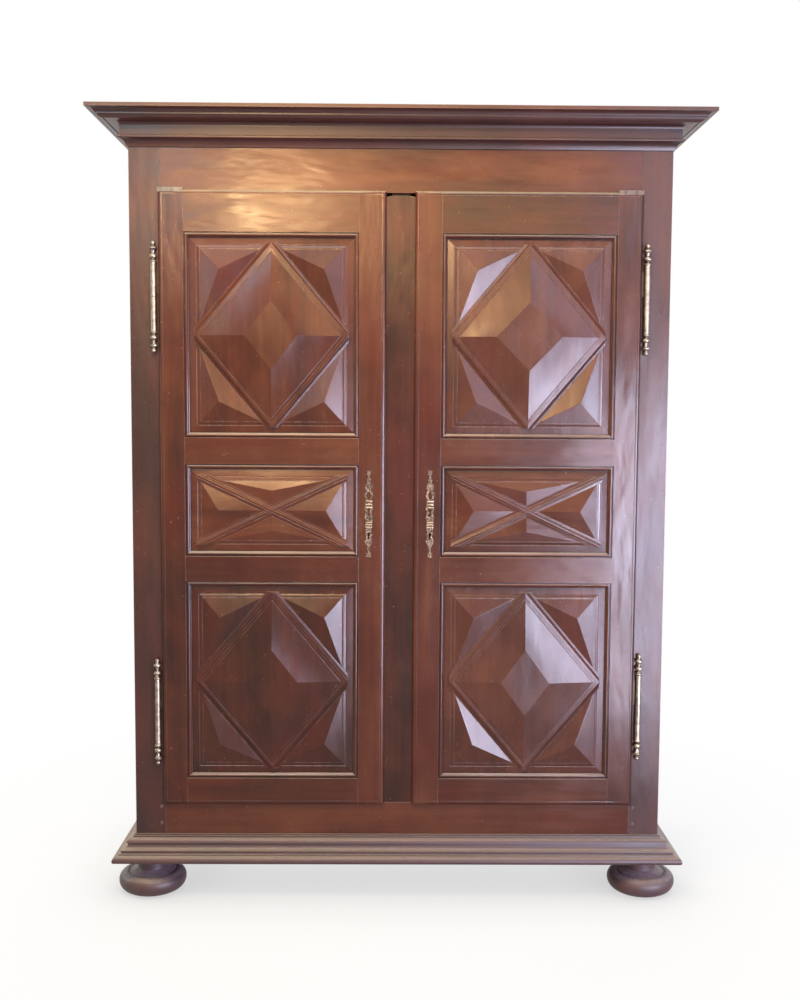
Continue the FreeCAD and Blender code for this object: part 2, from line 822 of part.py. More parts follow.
def moulding_cuts(rect, shares, width, depth, spill_out, spill_in):
    """What a moulding round a rectangle, mitred at its corners, cuts away from the door's face.

    The outline goes inward from the rectangle and back from the face. The cut spills past it on one side.
    """
    x_low, x_high, z_low, z_high = rect
    moulded = sized(shares, width, depth)
    start = moulded[0][0] - spill_out
    end = moulded[-1][0] + spill_in
    outline = [(start, -overrun, 0.0)]
    if spill_out:
        outline.append((start, moulded[0][1], 0.0))
    outline += moulded
    if spill_in:
        outline.append((end, moulded[-1][1], 0.0))
    if outline[-1][1] > -overrun:
        outline.append((end, -overrun, 0.0))
    far = 2 * overrun
    upright = Vector(0, 0, z_high - z_low + 2 * far)
    level = Vector(x_high - x_low + 2 * far, 0, 0)

    def corners(inset):
        """The rectangle's corners moved inward: bottom left, bottom right, top right, top left."""
        return [(x_low + inset, z_low + inset), (x_high - inset, z_low + inset),
                (x_high - inset, z_high - inset), (x_low + inset, z_high - inset)]

    outer = corners(start)
    inner = corners(end)
    sides = [
        (lambda u, v: Vector(x_low - far, door_front_y + v, z_low + u), level, 0),
        (lambda u, v: Vector(x_high - u, door_front_y + v, z_low - far), upright, 1),
        (lambda u, v: Vector(x_low - far, door_front_y + v, z_high - u), level, 2),
        (lambda u, v: Vector(x_low + u, door_front_y + v, z_low - far), upright, -1),
    ]
    cuts = []
    for place, sweep, side in sides:
        run = outline_face(outline, place).extrude(sweep)
        plan = [outer[side], outer[side + 1], inner[side + 1], inner[side]]
        cuts.append(run.common(front_prism(plan, (door_front_y - 2 * overrun, door_back_y))))
    return cuts


def door_edge_cuts():
    """The moulded edge round the door's face, and the rebate that leaves the lip."""
    rect = (-door_outer_x, -door_inner_x, door_bottom_z, door_top_z)
    cuts = moulding_cuts(rect, door_edge_shares, door_edge_width, door_edge_depth, overrun, 0)
    inset = lip_overlap + door_clearance
    behind = (front_y, door_back_y + overrun)
    tall = (door_bottom_z - overrun, door_top_z + overrun)
    wide = (-door_outer_x - overrun, -door_inner_x + overrun)
    cuts.append(box((-door_outer_x - overrun, -door_outer_x + inset), behind, tall))
    cuts.append(box((-door_inner_x - inset, -door_inner_x + overrun), behind, tall))
    cuts.append(box(wide, behind, (door_bottom_z - overrun, door_bottom_z + inset)))
    cuts.append(box(wide, behind, (door_top_z - inset, door_top_z + overrun)))
    return cuts


def pane_board_ranges(z_range):
    """The board of a door panel with its tongues."""
    inset = pane_moulding_width - panel_tongue
    front = door_front_y + panel_setback
    return [(pane_hinge_x + inset, pane_lock_x - inset), (front, front + panel_thickness),
            (z_range[0] + inset, z_range[1] - inset)]


def pane_cuts():
    """The mouldings round the three panes, and the grooves for their panels."""
    cuts = []
    for z_range in panes.values():
        rect = (pane_hinge_x, pane_lock_x, z_range[0], z_range[1])
        cuts += moulding_cuts(rect, pane_moulding_shares, pane_moulding_width, panel_setback, 0, overrun)
        cuts.append(groove_cut(pane_board_ranges(z_range), 1))
    return cuts


def strip_beside(x, z_range, way):
    """The moulded strip of a stile along one pane, mitred at its ends."""
    wide = pane_moulding_width
    outline = [(x, z_range[0]), (x + way * wide, z_range[0] + wide), (x + way * wide, z_range[1] - wide),
               (x, z_range[1])]
    return front_prism(outline, (door_front_y, door_back_y))


def strip_along(z, way):
    """The moulded strip of a rail along one pane, mitred at its ends."""
    wide = pane_moulding_width
    outline = [(pane_hinge_x, z), (pane_lock_x, z), (pane_lock_x - wide, z + way * wide),
               (pane_hinge_x + wide, z + way * wide)]
    return front_prism(outline, (door_front_y, door_back_y))


def door_tenon_ranges(z_range):
    """Where a door rail's tenons lie, right through the rail and into both stiles."""
    tenon_y = door_front_y + door_tenon_setback
    return [(pane_hinge_x - door_tenon_length, pane_lock_x + door_tenon_length),
            (tenon_y, tenon_y + door_tenon_thickness),
            (z_range[0] + door_tenon_shoulder, z_range[1] - door_tenon_shoulder)]


door_rails_z = {
    "top": (upper_pane_z[1], door_top_z),
    "upper_middle": (middle_pane_z[1], upper_pane_z[0]),
    "lower_middle": (lower_pane_z[1], middle_pane_z[0]),
    "bottom": (door_bottom_z, lower_pane_z[0]),
}


def stile(edge_x, pane_x):
    """A stile with its moulded strips, mortised for the rails."""
    way = 1 if pane_x > edge_x else -1
    body = box((edge_x, pane_x), (door_front_y, door_back_y), (door_bottom_z, door_top_z))
    strips = [strip_beside(pane_x, z_range, way) for z_range in panes.values()]
    tenons = [door_tenon_ranges(z_range) for z_range in door_rails_z.values()]
    mortises = [box(*grown(ranges, joint_clearance)) for ranges in tenons]
    return fused([body] + strips).cut(door_edge_cuts() + pane_cuts() + mortises)


def hinge_stile(lower_hinge_z):
    """The hinge stile, whose upper end is left square and stands above the top rail."""
    end_top_z = door_top_z + stile_end_rise
    end = box((-door_outer_x, pane_hinge_x), (door_front_y + stile_end_setback, front_y),
              (end_top_z - stile_end_height, end_top_z))
    return fused([stile(-door_outer_x, pane_hinge_x), end]).cut(leaf_slots(lower_hinge_z, False))


def lock_stile():
    """The lock stile, with its keyhole right through."""
    return stile(-door_inner_x, pane_lock_x).cut(keyhole((door_front_y - overrun, door_back_y + overrun)))


def keyhole(y_range):
    """The shape of a keyhole: round above, with a slot below for the key's bit."""
    depth = y_range[1] - y_range[0]
    round_part = Part.makeCylinder(keyhole_radius, depth, Vector(escutcheon_x, y_range[0], keyhole_z),
                                   Vector(0, 1, 0))
    slot = box((escutcheon_x - keyhole_slot_width / 2, escutcheon_x + keyhole_slot_width / 2), y_range,
               (keyhole_z - keyhole_slot_length, keyhole_z))
    return fused([round_part, slot])


def door_rail(name):
    """A rail of the door with its moulded strips and its tenons."""
    z_range = door_rails_z[name]
    parts = [box((pane_hinge_x, pane_lock_x), (door_front_y, door_back_y), z_range)]
    if name != "top":
        parts.append(strip_along(z_range[1], 1))
    if name != "bottom":
        parts.append(strip_along(z_range[0], -1))
    shaped = fused(parts).cut(door_edge_cuts() + pane_cuts())
    return fused([shaped, box(*door_tenon_ranges(z_range))])


# Door panels: everything on their face is built on the flat margin plane

def relief(centre_z, u, v, height):
    """A point on a panel's face: across and up from the pane's middle, and forward from its margin."""
    return Vector(pane_middle_x + u, door_front_y + panel_setback - height, centre_z + v)


def field_slab(centre_z, half_u, half_v):
    """The raised ground of the panel: a step all round, then a band that rises gently."""
    def rectangle(inset, height):
        corners = [(-1, -1), (1, -1), (1, 1), (-1, 1)]
        return [relief(centre_z, u * (half_u - inset), v * (half_v - inset), height) for u, v in corners]
    step = frustum(rectangle(0, -sink), rectangle(0, field_step))
    band = frustum(rectangle(0, field_step), rectangle(band_width, band_rise))
    return [step, band]


def facets(centre_z, corners, foot, apex, height):
    """A pyramid on a low plinth: corners and apex in the panel's own plane."""
    low = [relief(centre_z, u, v, 0) for u, v in corners]
    high = [relief(centre_z, u, v, foot) for u, v in corners]
    return [frustum(low, high), pyramid(high, relief(centre_z, apex[0], apex[1], height))]


def corner_pyramids(centre_z, half_u, half_v):
    """The four triangles between the rhombus and the corners, each faceted up to a point."""
    slant = math.hypot(half_u, half_v)
    apex_inset = (half_u + half_v - slant) / 2
    near_u = half_u - band_width
    near_v = half_v - band_width
    shapes = []
    for way_u in (-1, 1):
        for way_v in (-1, 1):
            corners = [(near_u, near_v), (half_u * band_width / half_v, near_v),
                       (near_u, half_v * band_width / half_u)]
            corners = [(way_u * u, way_v * v) for u, v in corners]
            apex = (way_u * (half_u - apex_inset), way_v * (half_v - apex_inset))
            shapes += facets(centre_z, corners, band_rise + facet_step, apex, corner_height)
    return shapes


def rhombus(centre_z, half_u, half_v):
    """The great diamond: a sunk edge, a cove, a flat fillet, then four facets up to a small plateau."""
    side_distance = half_u * half_v / math.hypot(half_u, half_v)

    def ring(share, height):
        corners = [(0, -1), (1, 0), (0, 1), (-1, 0)]
        return [relief(centre_z, u * half_u * share, v * half_v * share, height) for u, v in corners]

    cove_share = 1 - rhombus_cove_width / side_distance
    flat_share = 1 - rhombus_flat_width / side_distance
    levels = [(1, 0), (1, rhombus_foot), (cove_share, rhombus_cove_rise), (flat_share, rhombus_flat_rise),
              (flat_share, rhombus_facet_foot), (rhombus_plateau_share, rhombus_height)]
    return [frustum(ring(*lower), ring(*upper)) for lower, upper in zip(levels, levels[1:])]


def cross(centre_z, half_u, half_v):
    """The middle panel: four pyramids parted by two narrow ribs that cross from corner to corner."""
    near_u = half_u - band_width
    near_v = half_v - band_width
    slant = math.hypot(half_u, half_v)
    lean_u = cross_rib_width / 2 * slant / half_v
    lean_v = cross_rib_width / 2 * slant / half_u
    foot = band_rise + facet_step
    shapes = []
    for way in (-1, 1):
        wide = near_v * half_u / half_v - lean_u
        corners = [(-wide, way * near_v), (wide, way * near_v), (0, way * lean_v)]
        inset = half_u * half_v / (half_u + slant) * cross_apex_share
        shapes += facets(centre_z, corners, foot, (0, way * (half_v - inset)), cross_height)
        tall = near_u * half_v / half_u - lean_v
        corners = [(way * near_u, -tall), (way * near_u, tall), (way * lean_u, 0)]
        inset = half_u * half_v / (half_v + slant) * cross_apex_share
        shapes += facets(centre_z, corners, foot, (way * (half_u - inset), 0), cross_height)
        start = (-near_u, -way * near_u * half_v / half_u)
        end = (near_u, way * near_u * half_v / half_u)
        across = (-way * half_v / slant * cross_rib_width / 2, half_u / slant * cross_rib_width / 2)
        rib = [(start[0] + across[0], start[1] + across[1]), (end[0] + across[0], end[1] + across[1]),
               (end[0] - across[0], end[1] - across[1]), (start[0] - across[0], start[1] - across[1])]
        low = [relief(centre_z, u, v, 0) for u, v in rib]
        high = [relief(centre_z, u, v, cross_rib_rise) for u, v in rib]
        shapes.append(frustum(low, high))
    return shapes


def door_panel(name):
    """A panel: a board with tongues, and its carved face."""
    z_range = panes[name]
    centre_z = (z_range[0] + z_range[1]) / 2
    inset = pane_moulding_width + field_margin
    half_u = (pane_lock_x - pane_hinge_x) / 2 - inset
    half_v = (z_range[1] - z_range[0]) / 2 - inset
    shapes = [box(*pane_board_ranges(z_range))] + field_slab(centre_z, half_u, half_v)
    if name == "middle":
        shapes += cross(centre_z, half_u, half_v)
    else:
        shapes += corner_pyramids(centre_z, half_u, half_v) + rhombus(centre_z, half_u, half_v)
    return fused(shapes)


# Hinges, escutcheons and locks

def hinge_half(centre_z, on_post):
    """One half of a hinge: a barrel that ends in a turned finial."""
    finial = sized(finial_outline_shares, hinge_finial_radius, hinge_finial_length)
    outline = [(hinge_barrel_radius, hinge_half_gap / 2, 0.0)]
    outline += [(radius, height + hinge_barrel_length, bulge) for radius, height, bulge in finial]
    return turned(outline, hinge_x, hinge_y, centre_z, -1 if on_post else 1)


def hinge_pin(radius, length, centre_z, start):
    """The pin that stands up from the lower half into the upper one."""
    return Part.makeCylinder(radius, length - start, Vector(hinge_x, hinge_y, centre_z + start))


def hinge_pintles(lower_hinge_z):
    """The lower halves of one door's hinges, with their pins, let into the post."""
    halves = []
    for height in (lower_hinge_z, upper_hinge_z):
        leaf = hinge_leaf(hinge_leaf_thickness, hinge_leaf_depth, height, True)
        pin = hinge_pin(hinge_pin_radius, hinge_pin_length, height, -hinge_pin_length)
        halves.append(fused([hinge_half(height, True), leaf, pin]))
    return Part.makeCompound(halves)


def hinge_barrels(lower_hinge_z):
    """The upper halves of one door's hinges, bored for the pins and let into the stile."""
    halves = []
    for height in (lower_hinge_z, upper_hinge_z):
        leaf = hinge_leaf(hinge_leaf_thickness, hinge_leaf_depth, height, False)
        bore_length = hinge_pin_length + hinge_bore_spare
        bore = hinge_pin(hinge_pin_radius + hinge_pin_fit, bore_length, height, -overrun)
        halves.append(fused([hinge_half(height, False), leaf]).cut(bore))
    return Part.makeCompound(halves)


def escutcheon():
    """A long pierced plate with raised bands, nailed over the keyhole."""
    def place(down_share, half_share):
        x = escutcheon_x + half_share * escutcheon_width / 2
        return (x, escutcheon_top_z - down_share * escutcheon_length)

    right = [place(down, half) for down, half in escutcheon_outline_shares]
    left = [place(down, -half) for down, half in reversed(escutcheon_outline_shares)]
    y_range = (door_front_y - escutcheon_thickness, door_front_y)
    plate = front_prism(right + left, y_range)
    holes = []
    for outline in escutcheon_hole_shares:
        right = [place(down, half) for down, half in outline]
        left = [place(down, -half) for down, half in reversed(outline[1:-1])]
        holes.append(front_prism(right + left, (y_range[0] - overrun, y_range[1] + overrun)))
    holes.append(keyhole((y_range[0] - overrun, y_range[1] + overrun)))
    bands = []
    for share in escutcheon_band_shares:
        middle_z = escutcheon_top_z - share * escutcheon_length
        bands.append(box((place(0, -band_reach_share)[0], place(0, band_reach_share)[0]),
                         (y_range[0] - escutcheon_band_rise, y_range[1]),
                         (middle_z - escutcheon_band_height / 2, middle_z + escutcheon_band_height / 2)))
    return fused([plate.cut(holes)] + bands)


def lock_case():
    """The iron case behind the lock stile, with the channel that the bolt slides in."""
    x_range = (lock_nose_x - lock_case_width, lock_nose_x)
    y_range = (door_back_y, door_back_y + lock_case_depth)
    z_range = (keyhole_z - lock_case_height / 2, keyhole_z + lock_case_height / 2)
    channel = box(*grown(bolt_ranges(overrun), lock_bolt_fit))
    lock_keyhole = keyhole((door_back_y - overrun, y_range[1] - lock_cover()))
    return box(x_range, y_range, z_range).cut([channel, lock_keyhole])


def lock_cover():
    """The thickness of the case behind the bolt."""
    return (lock_case_depth - lock_bolt_thickness) / 2 - lock_bolt_fit


def bolt_ranges(reach):
    """The bolt drawn back in its case: its nose is flush with the case's edge."""
    middle_y = door_back_y + lock_case_depth / 2
    return [(lock_nose_x - lock_bolt_length, lock_nose_x + reach),
            (middle_y - lock_bolt_thickness / 2, middle_y + lock_bolt_thickness / 2),
            (keyhole_z - lock_bolt_height / 2, keyhole_z + lock_bolt_height / 2)]


def lock_bolt():
    return box(*bolt_ranges(0))


# Every piece by its name: the right-hand pieces mirror the left-hand ones

def carcass_nodes():
    cornice = mitred_runs(cornice_outline(), body_top_z, cornice_projection, cornice_bearing)
    cornice_front, cornice_left = cornice
    base_outline = sized(base_outline_shares, base_projection, base_height)
    base_front, base_left = mitred_runs(base_outline, foot_height, base_projection, 0)
    nodes = {
        "front_left_post": front_post(left_lower_hinge_z),
        "front_right_post": mirrored(front_post(right_lower_hinge_z)),
        "rear_left_post": rear_post(),
        "rear_right_post": mirrored(rear_post()),
        "front_top_rail": front_top_rail(),
        "front_bottom_rail": front_bottom_rail(),
        "centre_post": centre_post(),
        "left_side_rails": side_rails(),
        "right_side_rails": mirrored(side_rails()),
        "left_side_panels": side_panels(),
        "right_side_panels": mirrored(side_panels()),
        "back_rails": back_rails(),
        "back_boards": back_boards(),
        "floor_boards": floor_boards(),
        "left_shelf_cleats": shelf_cleats(),
        "right_shelf_cleats": mirrored(shelf_cleats()),
        "carcass_pegs": carcass_pegs(),
        "cornice_front": cornice_front,
        "cornice_left": cornice_left,
        "cornice_right": mirrored(cornice_left),
        "cornice_back_rail": cornice_back_rail(),
        "cornice_top_boards": cornice_top_boards(),
        "base_front": base_front,
        "base_left": base_left,
        "base_right": mirrored(base_left),
        "front_left_foot": front_foot(),
        "front_right_foot": mirrored(front_foot()),
        "left_hinge_pintles": hinge_pintles(left_lower_hinge_z),
        "right_hinge_pintles": mirrored(hinge_pintles(right_lower_hinge_z)),
    }
    for name in shelf_height_shares:
        nodes[name] = shelf(name)
    return nodes


def door_nodes(side, lower_hinge_z, placed):
    """The pieces of one door, each passed through placed."""
    pieces = {
        "door_hinge_stile": hinge_stile(lower_hinge_z),
        "door_lock_stile": lock_stile(),
        "hinge_barrels": hinge_barrels(lower_hinge_z),
        "escutcheon": escutcheon(),
        "lock_case": lock_case(),
        "lock_bolt": lock_bolt(),
    }
    for name in door_rails_z:
        pieces["door_" + name + "_rail"] = door_rail(name)
    for name in panes:
        pieces["door_" + name + "_panel"] = door_panel(name)
    return {side + "_" + name: placed(shape) for name, shape in pieces.items()}


def main():
    nodes = carcass_nodes()
    nodes.update(door_nodes("left", left_lower_hinge_z, lambda shape: shape))
    nodes.update(door_nodes("right", right_lower_hinge_z, mirrored))
    os.makedirs("parts", exist_ok=True)
    for name, shape in nodes.items():
        if not shape.isValid():
            raise RuntimeError("not a valid shape: " + name)
        shape.exportStep("parts/" + name + ".step")
        print(name, len(shape.Solids), round(shape.Volume))


main()
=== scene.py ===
"""A two-door cupboard with faceted door panels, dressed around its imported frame."""

import json
import math

import bmesh
import bpy
from bpy.props import FloatProperty, FloatVectorProperty, PointerProperty
from mathutils import Matrix, Vector, noise


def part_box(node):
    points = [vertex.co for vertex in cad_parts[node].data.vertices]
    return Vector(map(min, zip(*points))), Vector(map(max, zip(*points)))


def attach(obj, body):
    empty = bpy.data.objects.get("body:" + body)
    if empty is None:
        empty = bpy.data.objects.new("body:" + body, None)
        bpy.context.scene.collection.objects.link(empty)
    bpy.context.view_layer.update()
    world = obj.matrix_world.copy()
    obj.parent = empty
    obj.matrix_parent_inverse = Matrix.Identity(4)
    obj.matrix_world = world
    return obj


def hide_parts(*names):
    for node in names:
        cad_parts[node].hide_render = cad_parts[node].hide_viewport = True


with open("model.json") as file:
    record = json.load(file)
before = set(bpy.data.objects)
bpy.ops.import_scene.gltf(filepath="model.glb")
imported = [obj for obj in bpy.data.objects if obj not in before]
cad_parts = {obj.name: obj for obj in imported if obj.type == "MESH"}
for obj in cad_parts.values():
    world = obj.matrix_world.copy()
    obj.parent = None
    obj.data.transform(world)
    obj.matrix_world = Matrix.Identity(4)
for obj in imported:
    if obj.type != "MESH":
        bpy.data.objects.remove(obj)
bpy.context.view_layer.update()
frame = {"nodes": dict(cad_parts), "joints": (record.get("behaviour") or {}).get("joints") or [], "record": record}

bl_info = {
    "name": "Faceted cupboard",
    "version": (1, 0, 0),
    "blender": (4, 5, 0),
    "location": "3D View > Sidebar > Cupboard",
    "description": "Dresses the frame of a two-door cupboard with carved panels, mouldings and fittings",
    "category": "Object",
}

MM = 0.001  # metres
NODES = frame["nodes"]


def body_carrying(node):
    """The body that a node of the frame rides on."""
    for body, members in frame["record"]["behaviour"]["bodies"].items():
        if node in members:
            return body
    raise ValueError("no body carries " + node)


# Colours

def linear(code):
    """An sRGB hex colour as linear values, opaque."""
    channels = [int(code[start:start + 2], 16) / 255 for start in (1, 3, 5)]
    lit = [c / 12.92 if c <= 0.04045 else ((c + 0.055) / 1.055) ** 2.4 for c in channels]
    return (*lit, 1.0)


# Materials

def add_node(tree, kind, settings=None, **inputs):
    """Adds a shader node, sets its settings, and fills or links its inputs.

    An input is named with underscores, or by i and its number. A colour ramp's stops are a setting too.
    """
    node = tree.nodes.new(kind)
    for name, value in (settings or {}).items():
        if name == "stops":
            elements = node.color_ramp.elements
            for place, _ in value[2:]:
                elements.new(place)
            for element, (place, colour) in zip(elements, value):
                element.position, element.color = place, colour
        else:
            setattr(node, name, value)
    for name, value in inputs.items():
        key = int(name[1:]) if name[0] == "i" and name[1:].isdigit() else name.replace("_", " ")
        if isinstance(value, bpy.types.NodeSocket):
            tree.links.new(value, node.inputs[key])
        else:
            node.inputs[key].default_value = value
    return node


def start_material(name):
    """A material with an empty tree."""
    material = bpy.data.materials.new(name)
    material.use_nodes = True
    material.node_tree.nodes.clear()
    return material, material.node_tree


def shade(tree, **inputs):
    """Ends a tree in its shader and output."""
    shader = add_node(tree, "ShaderNodeBsdfPrincipled", **inputs)
    add_node(tree, "ShaderNodeOutputMaterial", Surface=shader.outputs["BSDF"])


GRAIN_TURNS = {"x": (0, math.pi / 2, 0), "y": (math.pi / 2, 0, 0), "z": (0, 0, 0)}


def grain_space(tree, grain, shift):
    """Object coordinates turned so that the grain runs along Z, and moved so that no two boards match."""
    place = add_node(tree, "ShaderNodeTexCoord").outputs["Object"]
    mapping = add_node(tree, "ShaderNodeMapping", Vector=place, Location=shift, Rotation=GRAIN_TURNS[grain])
    return mapping.outputs["Vector"]


def streaks(tree, space, across_mm, along_mm, detail=3.0, rough=0.5, warp=0.0):
    """Noise drawn out along the grain: its size across and along, in millimetres."""
    scale = (1 / (across_mm * MM), 1 / (across_mm * MM), 1 / (along_mm * MM))
    stretched = add_node(tree, "ShaderNodeMapping", Vector=space, Scale=scale).outputs["Vector"]
    return add_node(tree, "ShaderNodeTexNoise", Vector=stretched, Scale=1.0, Detail=detail, Roughness=rough,
                    Distortion=warp).outputs["Fac"]


def mask(tree, value, low, high, low_share=0.0, high_share=1.0, within=None):
    """How far a value has come from low to high, as a share, inside another mask where one is given."""
    share = add_node(tree, "ShaderNodeMapRange", Value=value, From_Min=low, From_Max=high, To_Min=low_share,
                     To_Max=high_share).outputs["Result"]
    if within is not None:
        share = add_node(tree, "ShaderNodeMath", {"operation": "MULTIPLY"}, i0=within, i1=share).outputs["Value"]
    return share


def coats(tree, under, *layers):
    """Lays (share, colour) coats over a colour, one after another."""
    for share, over in layers:
        under = add_node(tree, "ShaderNodeMix", {"data_type": "RGBA"}, i0=share, i6=under, i7=over).outputs[2]
    return under


def three_tones(tree, value, dark, middle, light):
    """A pattern from its dark to its light tone. Noise seldom leaves the middle third of its range."""
    stops = [(0.34, dark), (0.50, middle), (0.66, light)]
    return add_node(tree, "ShaderNodeValToRGB", {"stops": stops}, Fac=value).outputs["Color"]


def hollows(tree, reach_mm, low, high, most):
    """Corners and quirks: a mask from how much of its surroundings a surface sees. On the wood it paints shade there,
    with the old wax or dirt; on the brass it is tarnish.
    """
    seen = add_node(tree, "ShaderNodeAmbientOcclusion", {"samples": 6}, Distance=reach_mm * MM).outputs["AO"]
    return mask(tree, seen, low, high, most, 0.0)


def relief(tree, *layers):
    """Stacks (height, strength, depth in millimetres) bumps into one normal."""
    below = {}
    for height, strength, depth_mm in layers:
        bump = add_node(tree, "ShaderNodeBump", Strength=strength, Distance=depth_mm * MM, Height=height, **below)
        below = {"Normal": bump.outputs["Normal"]}
    return bump.outputs["Normal"]


FADED_WOOD = linear("#7E7370")
BARE_CHIP = linear("#CBB09C")
# Dust, and painted light from above, on what faces up.
LEDGE_DUST_AND_LIGHT = linear("#BEB2AA")
# A painted highlight along top edges, and end grain gone pale.
PALE_END_AND_HIGHLIGHT = linear("#A8A69A")
# Painted shade on hinge leaves let into the wood.
PAINTED_LEAF_SHADE = linear("#1E130D")


def waxed_walnut(name, grain, shift, tones, lift=0.0, faded=0.0, wave=1.0, ends=None, moulded=False):
    """Old walnut under many coats of wax and varnish.

    The grain is drawn in long soft streaks with a few darker pores. Patches have gone redder or darker with age.
    The corners are darker, with built-up wax and painted shade. The arrises are lighter, rubbed by hands and cloths
    and painted as a highlight, with a few small pale chips. Cloths have left the polish uneven, and the hand-planed
    face is a little wavy, so that a lamp's reflection in it has a ragged edge. The band of heights in ends is a
    painted highlight along a top edge, with end grain gone pale on the stiles.
    What faces up is paler, with dust and painted light from above. A moulded run was planed along straight grain, and
    its quirks are darker, with more wax and painted shade.
    """
    material, tree = start_material(name)
    space = grain_space(tree, grain, shift)
    dark, middle, light, worn, grime_and_shade, red = tones
    long = 6 if moulded else 1
    broad = streaks(tree, space, 90, 700 * long, detail=2.0, warp=0.6 / long)
    bands = streaks(tree, space, 14, 420 * long, detail=3.0, rough=0.55, warp=0.3 / long)
    fibres = streaks(tree, space, 3.0, 70 * long, detail=2.0, rough=0.6)
    pores = streaks(tree, space, 2.2, 36 * long, detail=2.0, rough=0.7)
    patch = streaks(tree, space, 160, 420, detail=2.0, warp=0.5)
    rubbed = streaks(tree, space, 16, 160 * long, detail=4.0, rough=0.6)
    wiped = streaks(tree, space, 60, 220, rough=0.55, warp=0.8)
    cloud = add_node(tree, "ShaderNodeTexNoise", Vector=space, Scale=1 / (200 * MM), Detail=4.0,
                     Roughness=0.6).outputs["Fac"]
    specks = add_node(tree, "ShaderNodeTexNoise", Vector=space, Scale=1 / (7 * MM), Detail=2.0,
                      Roughness=0.6).outputs["Fac"]
    figure = coats(tree, broad, (0.30, bands), (0.10, fibres), (0.40, cloud))
    figure = add_node(tree, "ShaderNodeMath", {"operation": "ADD"}, i0=figure, i1=lift).outputs["Value"]

    # Corners and quirks darker: old wax with painted shade, reaching further on a moulded run.
    corner_wax_and_shade = hollows(tree, 22, 0.48, 0.94, 0.72) if moulded else hollows(tree, 10, 0.35, 0.86, 0.72)
    # Arrises: lighter where hands have rubbed them, and a painted highlight, broken by streaks and kept out of the
    # corners.
    rounded = add_node(tree, "ShaderNodeBevel", {"samples": 4}, Radius=2.4 * MM).outputs["Normal"]
    flat = add_node(tree, "ShaderNodeNewGeometry").outputs["Normal"]
    along = add_node(tree, "ShaderNodeVectorMath", {"operation": "DOT_PRODUCT"}, i0=rounded, i1=flat)
    edge = mask(tree, along.outputs["Value"], 0.995, 0.86)
    edge = mask(tree, rubbed, 0.38, 0.62, 0.15, 0.95, edge)
    edge = mask(tree, corner_wax_and_shade, 0.0, 0.2, 1.0, 0.0, edge)
    chips = add_node(tree, "ShaderNodeMath", {"operation": "MAXIMUM"}, i0=mask(tree, specks, 0.62, 0.68, within=edge),
                     i1=mask(tree, specks, 0.73, 0.77, 0.0, 0.45)).outputs["Value"]
    upward = add_node(tree, "ShaderNodeSeparateXYZ", Vector=flat).outputs["Z"]
    # What faces up is paler: dust, and painted light from above. On a flat board even its sloping arrises take it. On
    # carving and mouldings only what faces up does.
    ledge_dust_and_light = mask(tree, upward, *((0.15, 0.60) if wave == 1 else (0.55, 0.95)), 0.0, 0.70)
    ledge_dust_and_light = mask(tree, bands, 0.30, 0.60, 0.55, 1.0, ledge_dust_and_light)
    # The coats: red patches, fading, dark pores, old wax with painted shade in corners, arrises worn and painted as
    # highlights, chips, and dust with painted light on what faces up.
    colour = coats(tree, three_tones(tree, figure, dark, middle, light),
                   (mask(tree, patch, 0.48, 0.72, 0.0, 0.60), red), (faded, FADED_WOOD),
                   (mask(tree, pores, 0.62, 0.76, 0.0, 0.25), grime_and_shade), (corner_wax_and_shade, grime_and_shade), (edge, worn),
                   (chips, BARE_CHIP), (ledge_dust_and_light, LEDGE_DUST_AND_LIGHT))
    # A pale band near the top: a painted highlight along the top edge, with end grain gone pale on the stiles.
    if ends:
        place = add_node(tree, "ShaderNodeTexCoord").outputs["Object"]
        height = add_node(tree, "ShaderNodeSeparateXYZ", Vector=place).outputs["Z"]
        pale = mask(tree, bands, 0.30, 0.55, 0.3, 1.0, mask(tree, height, *ends, 0.0, 0.45))
        colour = coats(tree, colour, (pale, PALE_END_AND_HIGHLIGHT))

    polish = mask(tree, coats(tree, cloud, (0.5, wiped)), 0.35, 0.65, 0.18 + 0.60 * faded, 0.29 + 0.60 * faded)
    planed = relief(tree, (streaks(tree, space, 55, 160, detail=2.0), 0.6, 3.4 * wave),
                    (streaks(tree, space, 22, 80, detail=2.0), 0.5, 0.7 * wave), (fibres, 0.12, 0.12))
    shade(tree, Base_Color=colour, Roughness=polish, Normal=planed, Specular_IOR_Level=0.30)
    return material


